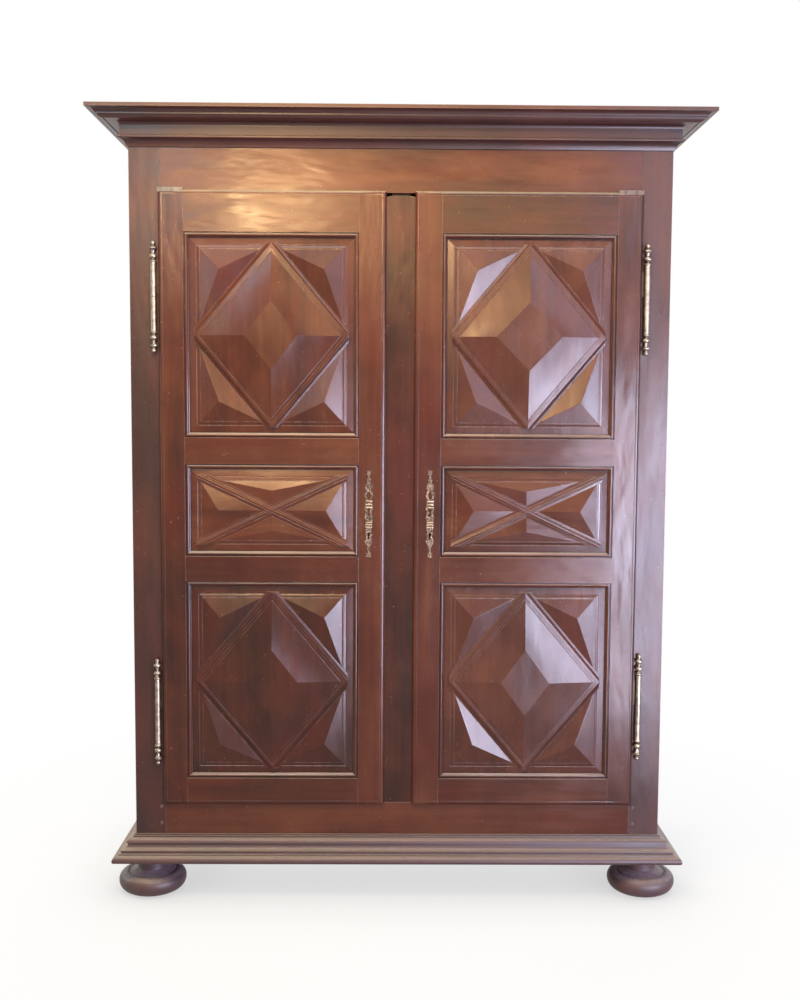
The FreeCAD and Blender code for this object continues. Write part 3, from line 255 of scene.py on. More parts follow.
def aged_brass(name, tones, grit_mm, relief_mm, shaded_behind=None):
    """Cast and filed brass, long unpolished: grey-brown, darker in the hollows, and bright where it is touched.

    It is smooth enough to show a lamp as a bright line along a barrel. A cast plate has low worn relief.
    What lies further back than shaded_behind is let into the wood, and is painted dark as its shade in the gap.
    """
    material, tree = start_material(name)
    place = add_node(tree, "ShaderNodeTexCoord").outputs["Object"]
    cloud = add_node(tree, "ShaderNodeTexNoise", Vector=place, Scale=1 / (14 * MM), Detail=4.0,
                     Roughness=0.6).outputs["Fac"]
    specks = add_node(tree, "ShaderNodeTexNoise", Vector=place, Scale=1 / (grit_mm * MM), Detail=3.0).outputs["Fac"]
    scrolls = add_node(tree, "ShaderNodeTexNoise", Vector=place, Scale=1 / (9 * MM), Detail=1.0,
                       Distortion=1.5).outputs["Fac"]
    colour = coats(tree, three_tones(tree, coats(tree, cloud, (0.2, specks)), *tones),
                   (hollows(tree, 5, 0.40, 0.95, 0.85), tones[0]))
    if shaded_behind is not None:
        # The let-in leaf painted dark as its shade.
        depth = add_node(tree, "ShaderNodeSeparateXYZ", Vector=place).outputs["Y"]
        colour = coats(tree, colour, (mask(tree, depth, shaded_behind, shaded_behind + 2 * MM, 0.0, 0.9), PAINTED_LEAF_SHADE))
    shade(tree, Base_Color=colour, Roughness=mask(tree, cloud, 0.35, 0.65, 0.32, 0.46), Metallic=1.0,
          Normal=relief(tree, (specks, 0.2, 0.1), (scrolls, 1.0, relief_mm)))
    return material


def forged_iron(name, tones):
    """Iron from the forge: black scale with a little brown rust, hammered and not filed."""
    material, tree = start_material(name)
    place = add_node(tree, "ShaderNodeTexCoord").outputs["Object"]
    hammered = add_node(tree, "ShaderNodeTexVoronoi", {"feature": "SMOOTH_F1"}, Vector=place,
                        Scale=1 / (9 * MM)).outputs["Distance"]
    cloud = add_node(tree, "ShaderNodeTexNoise", Vector=place, Scale=1 / (16 * MM), Detail=5.0).outputs["Fac"]
    rust = add_node(tree, "ShaderNodeValToRGB", {"stops": list(zip((0.35, 0.52, 0.68), tones))}, Fac=cloud)
    shade(tree, Base_Color=rust.outputs["Color"], Roughness=mask(tree, cloud, 0.3, 0.7, 0.45, 0.7), Metallic=0.8,
          Normal=relief(tree, (hammered, 0.3, 0.6)))
    return material


def plain_poplar(name, grain, shift, tones):
    """Inside boards of poplar, planed and left bare: dull, browned by age, with soft streaks."""
    material, tree = start_material(name)
    space = grain_space(tree, grain, shift)
    dark, middle, light, dirt = tones
    broad = streaks(tree, space, 40, 600, warp=0.8)
    bands = streaks(tree, space, 6, 260, detail=4.0, rough=0.6)
    # Inside corners darkened by the last tone: painted shade with dirt.
    colour = coats(tree, three_tones(tree, coats(tree, broad, (0.45, bands)), dark, middle, light),
                   (hollows(tree, 40, 0.3, 0.9, 0.6), dirt))
    shade(tree, Base_Color=colour, Roughness=0.62, Normal=relief(tree, (bands, 0.25, 0.3)))
    return material


# Mesh helpers

def arc_points(start, end, bulge, steps):
    """Points after start, up to end, on an arc that rises to the right of its way by bulge times its chord."""
    if not bulge:
        return [end]
    (u0, v0), (u1, v1) = start, end
    chord = math.hypot(u1 - u0, v1 - v0)
    along = ((u1 - u0) / chord, (v1 - v0) / chord)
    right = (along[1], -along[0])
    turn = 4 * math.atan(2 * abs(bulge))
    radius = chord / (2 * math.sin(turn / 2))
    points = []
    for step in range(1, steps + 1):
        angle = turn * (step / steps - 0.5)
        run = radius * math.sin(angle)
        rise = math.copysign(radius * (math.cos(angle) - math.cos(turn / 2)), bulge)
        points.append(((u0 + u1) / 2 + along[0] * run + right[0] * rise,
                       (v0 + v1) / 2 + along[1] * run + right[1] * rise))
    return points


def outline_points(shares, width, height, steps=5):
    """A table of (u, v, bulge) shares as points, with its arcs stepped."""
    sized = [(u * width, v * height, bulge) for u, v, bulge in shares]
    points = [sized[0][:2]]
    for u, v, bulge in sized[1:]:
        points += arc_points(points[-1], (u, v), bulge, steps)
    return points


def hand_wobble(place, size, depth):
    """How far a hand-planed surface lies off true at a place, in metres."""
    return noise.noise(place / size) * depth


def soften_arrises(bm, width, least_turn=0.12):
    """Rounds off each outward edge that turns by more than least_turn radians."""
    sharp = [edge for edge in bm.edges if len(edge.link_faces) == 2 and edge.calc_face_angle(0) > least_turn
             and edge.is_convex]
    bmesh.ops.bevel(bm, geom=sharp, offset=width, offset_type="OFFSET", affect="EDGES", segments=2,
                    profile=0.5, clamp_overlap=True, material=-1)


def finish_piece(bm, name, body, material, replaced, smooth_angle):
    """Turns a bmesh into a named piece that rides on a body and stands for nodes of the frame."""
    bmesh.ops.recalc_face_normals(bm, faces=bm.faces)
    mesh = bpy.data.meshes.new(name)
    bm.to_mesh(mesh)
    bm.free()
    mesh.polygons.foreach_set("use_smooth", [True] * len(mesh.polygons))
    mesh.set_sharp_from_angle(angle=smooth_angle)
    piece = bpy.data.objects.new(name, mesh)
    bpy.context.scene.collection.objects.link(piece)
    mesh.materials.append(material)
    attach(piece, body)
    if replaced:
        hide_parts(*replaced)
    crisp_facets(piece)
    return piece


def crisp_facets(piece):
    """Keeps a large flat face evenly shaded up to the small faces that round its arrises."""
    weighted = piece.modifiers.new("Crisp facets", "WEIGHTED_NORMAL")
    weighted.keep_sharp = True
    weighted.weight = 50


def spin_outline(bm, points, centre, way, steps):
    """A turned shape from (radius, height) points, upright about a centre."""
    verts = [bm.verts.new((centre.x + radius, centre.y, centre.z + way * height)) for radius, height in points]
    edges = [bm.edges.new(pair) for pair in zip(verts, verts[1:])]
    bmesh.ops.spin(bm, geom=verts + edges, cent=centre, axis=(0, 0, 1), angle=2 * math.pi, steps=steps, use_merge=True)
    bmesh.ops.remove_doubles(bm, verts=bm.verts, dist=1e-6)


def block(bm, low, high, width):
    """A block between two corners, with softened arrises."""
    part = bmesh.new()
    bmesh.ops.create_cube(part, size=1.0)
    size = high - low
    bmesh.ops.scale(part, vec=size, verts=part.verts)
    bmesh.ops.translate(part, vec=(low + high) / 2, verts=part.verts)
    soften_arrises(part, width)
    join_into(bm, part)


def join_into(bm, part):
    """Adds a part's faces to a bmesh, and frees the part."""
    mesh = bpy.data.meshes.new("part")
    part.to_mesh(mesh)
    part.free()
    bm.from_mesh(mesh)
    bpy.data.meshes.remove(mesh)


# Carved door panels

CARVED_TURN = 0.30  # radians between two faces, past which the edge between them is crisp


def panel_space(node):
    """A panel's own plane: its middle, its half sizes to the edge of the board, and its back."""
    low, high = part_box(node)
    return {
        "x": (low.x + high.x) / 2,
        "z": (low.z + high.z) / 2,
        "half_u": (high.x - low.x) / 2,
        "half_v": (high.z - low.z) / 2,
        "back": high.y,
    }


def carved(part, space, margin_y, soften):
    """Softens a part that was made flat, with height along Z, and stands it up on the panel's face."""
    bmesh.ops.recalc_face_normals(part, faces=part.faces)
    soften_arrises(part, soften)
    stand = Matrix(((1, 0, 0, space["x"]), (0, 0, -1, margin_y), (0, 1, 0, space["z"]), (0, 0, 0, 1)))
    bmesh.ops.transform(part, matrix=stand, verts=part.verts)


def move_rim(face, old, new):
    """Moves a face's corners from their old places to new ones, pair by pair."""
    for vert in face.verts:
        nearest = min(range(len(old)), key=lambda number: (vert.co - old[number]).length_squared)
        vert.co = new[nearest]


def stack(rings):
    """A closed shape through rings of like count, from the lowest up."""
    part = bmesh.new()
    face = part.faces.new([part.verts.new(place) for place in rings[0]])
    for number, (lower, upper) in enumerate(zip(rings, rings[1:])):
        raised = bmesh.ops.extrude_face_region(part, geom=[face])["geom"]
        if number:
            part.faces.remove(face)
        face = next(item for item in raised if isinstance(item, bmesh.types.BMFace))
        move_rim(face, lower, upper)
    return part


def rectangle_ring(half_u, half_v, height):
    """A rectangle's four corners at a height."""
    return [Vector((-half_u, -half_v, height)), Vector((half_u, -half_v, height)),
            Vector((half_u, half_v, height)), Vector((-half_u, half_v, height))]


def rhombus_ring(half_u, half_v, height, cuts):
    """A diamond whose sides have several stretches."""
    corners = [Vector((0, -half_v, 0)), Vector((half_u, 0, 0)), Vector((0, half_v, 0)), Vector((-half_u, 0, 0))]
    ring = []
    for start, end in zip(corners, corners[1:] + corners[:1]):
        for cut in range(cuts):
            place = start.lerp(end, cut / cuts)
            ring.append(Vector((place.x, place.y, height)))
    return ring


# Insets and heights of the carving's rings, in millimetres
BAND_RINGS = [(-14.0, -1.0), (-14.0, 1.2), (3.4, 4.0), (4.8, 4.1), (5.8, 3.2), (8.5, 3.8), (12.5, 5.6), (15.2, 5.9),
              (15.8, 6.5), (17.2, 6.6)]


def start_panel(node, carving):
    """The board behind, with its tongues, and the band that slopes up from the frame to the carving's field."""
    space = panel_space(node)
    margin_y = space["back"] - carving.board_thickness
    field_u = space["half_u"] - carving.field_inset
    field_v = space["half_v"] - carving.field_inset
    bm = bmesh.new()
    board = [rectangle_ring(space["half_u"], space["half_v"], height) for height in (margin_y - space["back"], 0.0)]
    band = [rectangle_ring(field_u - inset * MM, field_v - inset * MM, height * MM) for inset, height in BAND_RINGS]
    for rings in (board, band):
        part = stack(rings)
        carved(part, space, margin_y, 0.4 * MM)
        join_into(bm, part)
    return bm, space, margin_y, field_u, field_v


def faceted_pyramid(bm, space, margin_y, corners, foot, apex, carving, seed):
    """Facets that rise from a low plinth to a point, each a little out of true as planed by hand."""
    part = stack([[Vector((u, v, 0.0)) for u, v in corners], [Vector((u, v, foot)) for u, v in corners]])
    top = max(part.faces, key=lambda face: face.calc_center_median().z)
    poked = bmesh.ops.poke(part, faces=[top])
    stray = Vector([noise.noise(Vector((seed * 7.3, row, 4.1))) for row in (1.7, 5.3, 9.9)]) * carving.apex_stray
    poked["verts"][0].co = Vector((apex[0] + stray.x, apex[1] + stray.y, apex[2] + stray.z * 0.5))
    carved(part, space, margin_y, 0.8 * MM)
    join_into(bm, part)


DIAMOND_RINGS = [(-13.0, -1.0), (-13.0, 6.4), (-10.0, 7.0), (-6.5, 8.4), (-3.5, 10.4), (-1.4, 12.4), (-0.4, 13.4),
                 (0.4, 13.6), (7.6, 14.2), (8.2, 13.8), (15.0, 14.3), (15.8, 15.9), (16.8, 16.3)]
DIAMOND_CUTS = 12
FACET_LAYERS = 6
WOBBLE_LENGTH = 50 * MM


def trim(part, half_u, half_v):
    """Cuts a closed part off at a rectangle's four sides, and closes it again."""
    for way_u, way_v in ((1, 0), (-1, 0), (0, 1), (0, -1)):
        cut = bmesh.ops.bisect_plane(part, geom=[*part.verts, *part.edges, *part.faces], clear_outer=True,
                                     plane_co=(way_u * half_u, way_v * half_v, 0), plane_no=(way_u, way_v, 0))
        rim = [item for item in cut["geom_cut"] if isinstance(item, bmesh.types.BMEdge)]
        if rim:
            bmesh.ops.contextual_create(part, geom=rim)


def diamond(bm, space, margin_y, half_u, half_v, carving, table_u, table_v):
    """The great diamond: a cove, two narrow fillets, a small step, and four hollow facets up to a small table."""
    side = half_u * half_v / math.hypot(half_u, half_v)
    rings = []
    for inset, height in DIAMOND_RINGS:
        share = 1 - inset * MM / side
        rings.append(rhombus_ring(half_u * share, half_v * share, height * MM, DIAMOND_CUTS))
    outer = rings[-1]
    inner = rhombus_ring(half_u * table_u, half_v * table_v, carving.diamond_height, DIAMOND_CUTS)
    for layer in range(1, FACET_LAYERS + 1):
        run = layer / FACET_LAYERS
        rise = run * (1 - carving.facet_hollow) + run * run * carving.facet_hollow
        ring = []
        for low, high in zip(outer, inner):
            place = low.lerp(high, run)
            place.z = low.z + (high.z - low.z) * rise
            if layer < FACET_LAYERS:
                place.z += hand_wobble(place + Vector((space["x"], space["z"], 0)), WOBBLE_LENGTH, carving.plane_depth)
            ring.append(place)
        rings.append(ring)
    part = stack(rings)
    trim(part, half_u - 0.3 * MM, half_v - 0.3 * MM)
    carved(part, space, margin_y, 0.6 * MM)
    join_into(bm, part)


DIAMOND_EDGE = 12 * MM
TABLE_SHARES = {"left_door_upper_panel": (0.345, 0.365), "right_door_upper_panel": (0.43, 0.37),
                "left_door_lower_panel": (0.34, 0.36), "right_door_lower_panel": (0.32, 0.37)}


def tall_panel(node, carving, material):
    """The upper or lower panel of a door, with its diamond and four corner pyramids."""
    bm, space, margin_y, field_u, field_v = start_panel(node, carving)
    slant = math.hypot(field_u, field_v)
    apex_inset = (field_u + field_v - slant) / 2
    near_u = field_u - carving.band_width
    near_v = field_v - carving.band_width
    reach = 1 + DIAMOND_EDGE * slant / (field_u * field_v)
    for seed, (way_u, way_v) in enumerate([(-1, -1), (1, -1), (1, 1), (-1, 1)]):
        corners = [(near_u, near_v), (field_u * (reach - near_v / field_v), near_v),
                   (near_u, field_v * (reach - near_u / field_u))]
        corners = [(way_u * u, way_v * v) for u, v in corners]
        if way_u * way_v < 0:
            corners.reverse()
        apex = (way_u * (field_u - apex_inset), way_v * (field_v - apex_inset - carving.apex_drop),
                carving.corner_height)
        faceted_pyramid(bm, space, margin_y, corners, carving.facet_foot, apex, carving,
                        seed + space["x"] * 9 + space["z"] * 5)
    table_u, table_v = TABLE_SHARES[node]
    diamond(bm, space, margin_y, field_u, field_v, carving, table_u, table_v)
    return finish_piece(bm, node + "_carved", body_carrying(node), material, [node], CARVED_TURN)


RIB_RINGS = [(0.0, 1.0), (0.62, 1.0), (0.66, 0.60), (0.80, 0.52), (0.82, 0.40), (0.74, 0.32), (0.84, 0.10)]
RIB_REACH = 1.06  # the ribs run on past the field, and are trimmed to it
CROSSING_STEP = 0.15 * MM  # one rib lies this much lower, so that no two faces coincide where they cross
LOW_APEX_SHARE = 1.05
SIDE_APEX_SHARE = 1.15


def crossed_panel(node, carving, material):
    """The middle panel of a door: four pyramids, parted by two ribs that cross."""
    bm, space, margin_y, field_u, field_v = start_panel(node, carving)
    near_u = field_u - carving.band_width
    near_v = field_v - carving.band_width
    slant = math.hypot(field_u, field_v)
    lean_u = carving.rib_width / 2 * slant / field_v
    lean_v = carving.rib_width / 2 * slant / field_u
    foot = carving.facet_foot
    for way in (-1, 1):
        wide = near_v * field_u / field_v - lean_u
        corners = [(-wide * way, way * near_v), (0, way * lean_v), (wide * way, way * near_v)]
        inset = field_u * field_v / (field_u + slant) * carving.cross_apex_share * LOW_APEX_SHARE
        apex = (0, way * (field_v - inset), carving.cross_height * carving.cross_low_share)
        faceted_pyramid(bm, space, margin_y, corners, foot, apex, carving, way * 3 + space["x"] * 9)
        tall = near_u * field_v / field_u - lean_v
        corners = [(way * near_u, -tall * way), (way * near_u, tall * way), (way * lean_u, 0)]
        inset = field_u * field_v / (field_v + slant) * carving.cross_apex_share * SIDE_APEX_SHARE
        apex = (way * (field_u - inset), 0, carving.cross_height)
        faceted_pyramid(bm, space, margin_y, corners, foot, apex, carving, way * 5 + space["x"] * 7)
        across = Vector((-way * field_v, field_u, 0)).normalized() * carving.rib_width / 2
        ends = [Vector((-field_u, -way * field_v, 0)) * RIB_REACH, Vector((field_u, way * field_v, 0)) * RIB_REACH]
        rings = []
        under = CROSSING_STEP if way > 0 else 0.0
        for rise, share in RIB_RINGS:
            height = carving.rib_rise * rise - under if rise else 0.0
            up = Vector((0, 0, height))
            rings.append([ends[0] - across * share + up, ends[1] - across * share + up,
                          ends[1] + across * share + up, ends[0] + across * share + up])
        part = stack(rings)
        trim(part, field_u - 1 * MM, field_v - 1 * MM)
        carved(part, space, margin_y, 0.8 * MM)
        join_into(bm, part)
    return finish_piece(bm, node + "_carved", body_carrying(node), material, [node], CARVED_TURN)


# Mouldings

# Each row is a point's share of the projection and of the height, and how far an arc to it bulges, per its chord.
CORNICE_SHARES = [
    (0, 0, 0), (0.04, 0, 0), (0.048, 0.025, 0), (0.225, 0.205, -0.16), (0.255, 0.215, 0), (0.27, 0.235, 0.15),
    (0.27, 0.268, 0), (0.255, 0.285, 0.15), (0.212, 0.292, 0), (0.205, 0.304, 0), (0.205, 0.548, 0),
    (0.3, 0.668, -0.22), (0.572, 0.68, 0), (0.58, 0.662, 0), (0.596, 0.66, 0), (0.712, 0.748, 0.1),
    (0.716, 0.758, 0), (0.75, 0.752, 0), (0.752, 0.795, 0), (0.78, 0.8, 0), (0.935, 0.885, -0.2), (1, 0.9, 0),
    (1, 1, 0),
]
BASE_SHARES = [
    (0, 0, 0), (0.93, 0, 0), (1, 0.115, 0.15), (0.78, 0.28, 0.22), (0.737, 0.29, 0), (0.729, 0.324, 0),
    (0.66, 0.331, 0), (0.61, 0.372, -0.1), (0.61, 0.398, 0), (0.653, 0.403, 0), (0.644, 0.453, 0),
    (0.61, 0.46, 0), (0.35, 0.618, -0.22), (0.325, 0.684, 0), (0.408, 0.697, 0), (0.165, 0.862, 0.24),
    (0.136, 0.87, 0), (0.127, 0.928, 0), (0.075, 0.935, 0), (0.075, 1, 0), (0, 1, 0),
]
CORNICE_BEARING = 30 * MM
CORNICE_LIP = 22 * MM
CORNICE_BOARD_SHARE = 0.44


def carcass_plan():
    """Where the body's faces are: half its width, its front and its back."""
    front_low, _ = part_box("front_left_post")
    _, rear_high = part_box("rear_left_post")
    return -front_low.x, front_low.y, rear_high.y


def moulding_run(outline, start, end, node, name, material):
    """A moulding between two ends. Each end places an outline's point, out and up, in the frame."""
    bm = stack([[start(*point) for point in outline], [end(*point) for point in outline]])
    bmesh.ops.recalc_face_normals(bm, faces=bm.faces)
    bmesh.ops.triangulate(bm, faces=[f for f in bm.faces if len(f.verts) > 4])
    soften_arrises(bm, 0.9 * MM, 0.45)
    return finish_piece(bm, name, "carcass", material, [node], 0.40)


def mitred_set(kind, outline, finishes):
    """The front run and the two returns of a moulding."""
    half, front, back = carcass_plan()
    base_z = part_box(kind + "_front")[0].z
    moulding_run(outline, lambda out, up: Vector((-half - out, front - out, base_z + up)),
                 lambda out, up: Vector((half + out, front - out, base_z + up)),
                 kind + "_front", kind + "_front_moulding", finishes["x"])
    for side, way in (("left", -1), ("right", 1)):
        moulding_run(outline, lambda out, up: Vector((way * (half + out), front - out, base_z + up)),
                     lambda out, up: Vector((way * (half + out), back, base_z + up)),
                     kind + "_" + side, kind + "_" + side + "_moulding", finishes["y"])


# Turned feet and fittings

# Rows as for the mouldings, with shares of the radius and of the height.
FOOT_SHARES = [
    (0, 0, 0), (0.64, 0, 0), (0.88, 0.07, 0.07), (1, 0.3, 0.12), (0.725, 0.52, 0.24), (0.705, 0.508, 0),
    (0.69, 0.53, 0), (0.5, 0.6, -0.06), (0.44, 0.66, -0.15), (0.43, 0.86, 0), (0.5, 0.875, 0), (0.5, 1, 0),
    (0, 1, 0),
]
FINIAL_SHARES = [
    (0.745, 0, 0), (0.93, 0.05, -0.1), (0.93, 0.09, 0.2), (0.52, 0.16, -0.08), (0.44, 0.19, 0),
    (0.44, 0.43, 0.4), (0.42, 0.47, 0), (0.48, 0.52, 0), (0.98, 0.65, -0.12), (1, 0.69, 0), (0.56, 0.78, 0.06),
    (0.4, 0.81, 0), (0.38, 0.84, 0), (0.56, 0.89, 0.2), (0.48, 0.96, 0.12), (0.22, 1, 0.15), (0, 1, 0),
]


def turned_foot(side, material):
    """A bun foot with the ring and neck that the lathe left, on the height of the frame's foot."""
    node = "front_" + side + "_foot"
    low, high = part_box(node)
    post_low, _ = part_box("front_" + side + "_post")
    radius = (high.x - low.x) / 2
    centre = Vector(((low.x + high.x) / 2, (low.y + high.y) / 2, low.z))
    points = outline_points(FOOT_SHARES, radius, post_low.z - low.z, 8)
    bm = bmesh.new()
    spin_outline(bm, points, centre, 1, 96)
    finish_piece(bm, node + "_turned", "carcass", material, [node], 0.5)


BARREL_CHAMFER = 0.6 * MM


def hinge_half(bm, centre, way, shape):
    """A barrel that ends in a turned finial, up or down from the hinge's middle."""
    barrel = shape.barrel_length
    points = [(0.0, shape.half_gap), (shape.barrel_radius - BARREL_CHAMFER, shape.half_gap),
              (shape.barrel_radius, shape.half_gap + BARREL_CHAMFER)]
    points += [(radius, height + barrel) for radius, height in
               outline_points(FINIAL_SHARES, shape.finial_radius, shape.finial_length, 6)]
    part = bmesh.new()
    spin_outline(part, points, centre, way, 40)
    bmesh.ops.recalc_face_normals(part, faces=part.faces)
    join_into(bm, part)


def hinge_middles(side):
    """The middles of a door's lower and upper hinge, on the axis that the joint gives."""
    joint = next(item for item in frame["joints"] if item["name"] == side + "_door_hinge")
    x, y, _ = joint["pos_m"]
    low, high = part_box(side + "_hinge_barrels")
    shape = bpy.context.scene.cupboard_hinges
    return [Vector((x, y, low.z - shape.half_gap)),
            Vector((x, y, high.z - shape.barrel_length - shape.finial_length))]


def hinge_set(side, material):
    """The two halves of a door's two hinges, each with the leaf that is let into the wood."""
    shape = bpy.context.scene.cupboard_hinges
    inward = 1 if side == "left" else -1
    for kind, way, body in (("pintles", -1, "carcass"), ("barrels", 1, side + "_door")):
        bm = bmesh.new()
        for centre in hinge_middles(side):
            hinge_half(bm, centre, way, shape)
            near = way * shape.leaf_start
            far = way * (shape.leaf_start + shape.leaf_length)
            half = shape.leaf_thickness / 2
            if kind == "pintles":
                low = Vector((centre.x - half, centre.y, centre.z + min(near, far)))
                high = Vector((centre.x + half, centre.y + shape.post_leaf_reach, centre.z + max(near, far)))
            else:
                leaf_y = centre.y + shape.door_leaf_drop
                ends = sorted((centre.x, centre.x + inward * shape.door_leaf_reach))
                low = Vector((ends[0], leaf_y - half, centre.z + min(near, far)))
                high = Vector((ends[1], leaf_y + half, centre.z + max(near, far)))
            block(bm, low, high, 0.3 * MM)
        node = side + "_hinge_" + kind
        finish_piece(bm, node + "_turned", body, material, [node], 0.6)


BEAD_PLACES = (0.351, 0.388, 0.421, 0.592, 0.617, 0.648)


def escutcheon_beads(side, material):
    """The two groups of cast beads that cross an escutcheon, at shares of its height from the top."""
    low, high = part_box(side + "_escutcheon")
    middle = (low.x + high.x) / 2
    bm = bmesh.new()
    for share in BEAD_PLACES:
        height = high.z - share * (high.z - low.z)
        block(bm, Vector((middle - 9.2 * MM, low.y - 1.6 * MM, height - 2.1 * MM)),
              Vector((middle + 9.2 * MM, low.y + 0.6 * MM, height + 2.1 * MM)), 1.4 * MM)
    finish_piece(bm, side + "_escutcheon_beads", side + "_door", material, (), 0.7)


# Settings

def tint(name, description, code):
    """A colour that a user can set."""
    return FloatVectorProperty(name=name, description=description, subtype="COLOR", size=4, default=linear(code),
                               min=0, max=1)


def length(name, description, millimetres):
    """A length that a user can set."""
    return FloatProperty(name=name, description=description, unit="LENGTH", default=millimetres * MM)


class CupboardWood(bpy.types.PropertyGroup):
    """Colours of the waxed walnut"""
    dark: tint("Dark grain", "The darkest streaks", "#3C1E10")
    middle: tint("Wood", "The wood's main colour", "#5B2E19")
    light: tint("Light grain", "The lightest streaks", "#744227")
    # Worn arrises, which this colour also paints as highlights.
    worn: tint("Worn edge", "Wood that hands have rubbed", "#A28C80")
    # Old wax in the pores and corners; in the corners it also paints their shade.
    grime_and_shade: tint("Old wax", "Wax and dirt in the corners", "#1E0F08")
    red: tint("Red patch", "Where the varnish has gone red", "#66291A")


class CupboardHinges(bpy.types.PropertyGroup):
    """Sizes of the pin hinges, and the colours of the brass"""
    barrel_colour: tint("Barrel brass", "Colour of the turned brass", "#938373")
    plate_colour: tint("Plate brass", "Colour of the cast escutcheons", "#6A5546")
    bead_colour: tint("Bead brass", "Colour of the beads that hands have rubbed", "#A38D74")
    barrel_radius: length("Barrel radius", "Radius of the round part", 7.6)
    barrel_length: length("Barrel length", "From the middle to the finial", 93)
    finial_radius: length("Finial radius", "Radius of the finial's widest ring", 10.2)
    finial_length: length("Finial length", "Length of a finial", 60)
    half_gap: length("Half gap", "Half the gap between the two halves", 0.15)
    leaf_start: length("Leaf start", "From the middle to the leaf", 8)
    leaf_length: length("Leaf length", "Length of a leaf", 70)
    leaf_thickness: length("Leaf thickness", "Thickness of a leaf", 2.5)
    post_leaf_reach: length("Post leaf", "How far a leaf goes back into the post", 41)
    door_leaf_reach: length("Door leaf", "How far a leaf goes into the door's edge", 43)
    door_leaf_drop: length("Door leaf setback", "How far the leaf lies behind the pin", 6.2)


class CupboardCarving(bpy.types.PropertyGroup):
    """Sizes of the carved door panels"""
    board_thickness: length("Board", "Thickness of a panel's edge", 10)
    field_inset: length("Field inset", "From the board's edge to the raised ground", 25)
    band_width: length("Band", "Width of the moulded band", 17)
    facet_foot: length("Facet foot", "Height at which the pyramids start", 7)
    apex_drop: length("Apex drop", "How far the corner points lie towards the middle", 4)
    corner_height: length("Corner height", "Height of the corner pyramids", 20.5)
    apex_stray: length("Apex stray", "How far the carver missed each point", 3)
    diamond_height: length("Diamond height", "Height of the small table", 34)
    facet_hollow: FloatProperty(name="Hollow", description="How hollow the great facets are", subtype="FACTOR",
                                default=0.35)
    plane_depth: length("Plane marks", "How uneven the facets are", 0.7)
    rib_width: length("Rib width", "Width of the crossed ribs", 29)
    rib_rise: length("Rib rise", "Height of the crossed ribs", 11)
    cross_height: length("Cross height", "Height of the middle panel's pyramids", 16.5)
    cross_low_share: FloatProperty(name="Cross low", description="Height share of the upper and lower pyramids",
                                   subtype="FACTOR", default=0.78)
    cross_apex_share: FloatProperty(name="Cross apex", description="Place of the pyramids' points",
                                    subtype="FACTOR", default=0.86)


class CupboardStage(bpy.types.PropertyGroup):
    """The studio: camera and lights"""
    room_light: FloatProperty(name="Room light", description="Strength of the light from all round",
                              default=0.22, min=0)
    soft_light: FloatProperty(name="Soft light", description="Strength of the lamps that light surfaces",
                              default=1.0, min=0)
    lamps: FloatProperty(name="Reflections", description="Strength of the lamps that show in gloss", default=1.0,
                         min=0)
    lens: FloatProperty(name="Lens", description="Focal length", unit="CAMERA", default=40.98)


# Operators

def wood_tones():
    wood = bpy.context.scene.cupboard_wood
    return [tuple(wood.dark), tuple(wood.middle), tuple(wood.light), tuple(wood.worn), tuple(wood.grime_and_shade),
            tuple(wood.red)]


def brass_tones(kind):
    fittings = bpy.context.scene.cupboard_hinges
    colour = {"barrel": fittings.barrel_colour, "plate": fittings.plate_colour, "bead": fittings.bead_colour}[kind]
    return [tuple(part * share for part in colour[:3]) + (1.0,) for share in (0.45, 0.85, 1.15)]


def grain_of(node):
    """The way the grain runs in a piece of the carcass or a door."""
    if "side_rails" in node or "cleats" in node or node in ("floor_boards", "cornice_top_boards"):
        return "y"
    if "post" in node or "stile" in node or "side_panels" in node or node == "back_boards":
        return "z"
    return "x"


# Each board's lift of tone and share of faded grey. Besides the boards' own tones, some paint light and shade: the
# darker centre post and left post are painted shade, the lighter left middle panel painted light, and the cornice's
# grey fade is partly a painted cool sheen.
BOARD_TONES = {
    "front_top_rail": (0.03, 0.0),
    "front_bottom_rail": (0.12, 0.0),
    "front_left_post": (-0.12, 0.10),
    "front_right_post": (0.0, 0.12),
    "centre_post": (-0.12, 0.0),
    "left_door_top_rail": (0.02, 0.0),
    "left_door_upper_middle_rail": (0.05, 0.0),
    "left_door_lower_middle_rail": (-0.05, 0.0),
    "left_door_bottom_rail": (0.0, 0.0),
    "left_door_hinge_stile": (-0.02, 0.0),
    "left_door_lock_stile": (0.04, 0.0),
    "left_door_upper_panel": (0.02, 0.0),
    "left_door_middle_panel": (0.10, 0.0),
    "left_door_lower_panel": (-0.09, 0.0),
    "right_door_top_rail": (-0.05, 0.0),
    "right_door_upper_middle_rail": (0.04, 0.0),
    "right_door_lower_middle_rail": (0.14, 0.0),
    "right_door_lock_stile": (0.04, 0.0),
    "right_door_upper_panel": (0.03, 0.05),
    "right_door_middle_panel": (0.03, 0.0),
    "right_door_lower_panel": (0.03, 0.06),
    "base": (-0.02, 0.36),
    "cornice": (-0.02, 0.16),
    "front_left_foot": (-0.04, 0.42),
    "front_right_foot": (-0.04, 0.42),
    "carcass_pegs": (0.12, 0.45),
}


def board_finish(node, grain, shift, ends=None):
    """The walnut of one board: some boards are lighter or darker than others, partly as painted light and shade, and
    some have faded or gathered dust.
    """
    lift, faded = BOARD_TONES.get(node, (0.0, 0.0))
    wave = 1.0 if "rail" in node or "stile" in node or "post" in node else 0.45 if "panel" in node else 0.25
    return waxed_walnut("waxed_walnut_" + node, grain, shift, wood_tones(), lift, faded, wave, ends,
                        node in ("cornice", "base"))


def own_shift(node):
    """Where a piece's pattern starts, so that neighbours don't match."""
    number = sorted(NODES).index(node)
    return (number * 0.731 % 5, number * 1.117 % 7, number * 1.913 % 11)


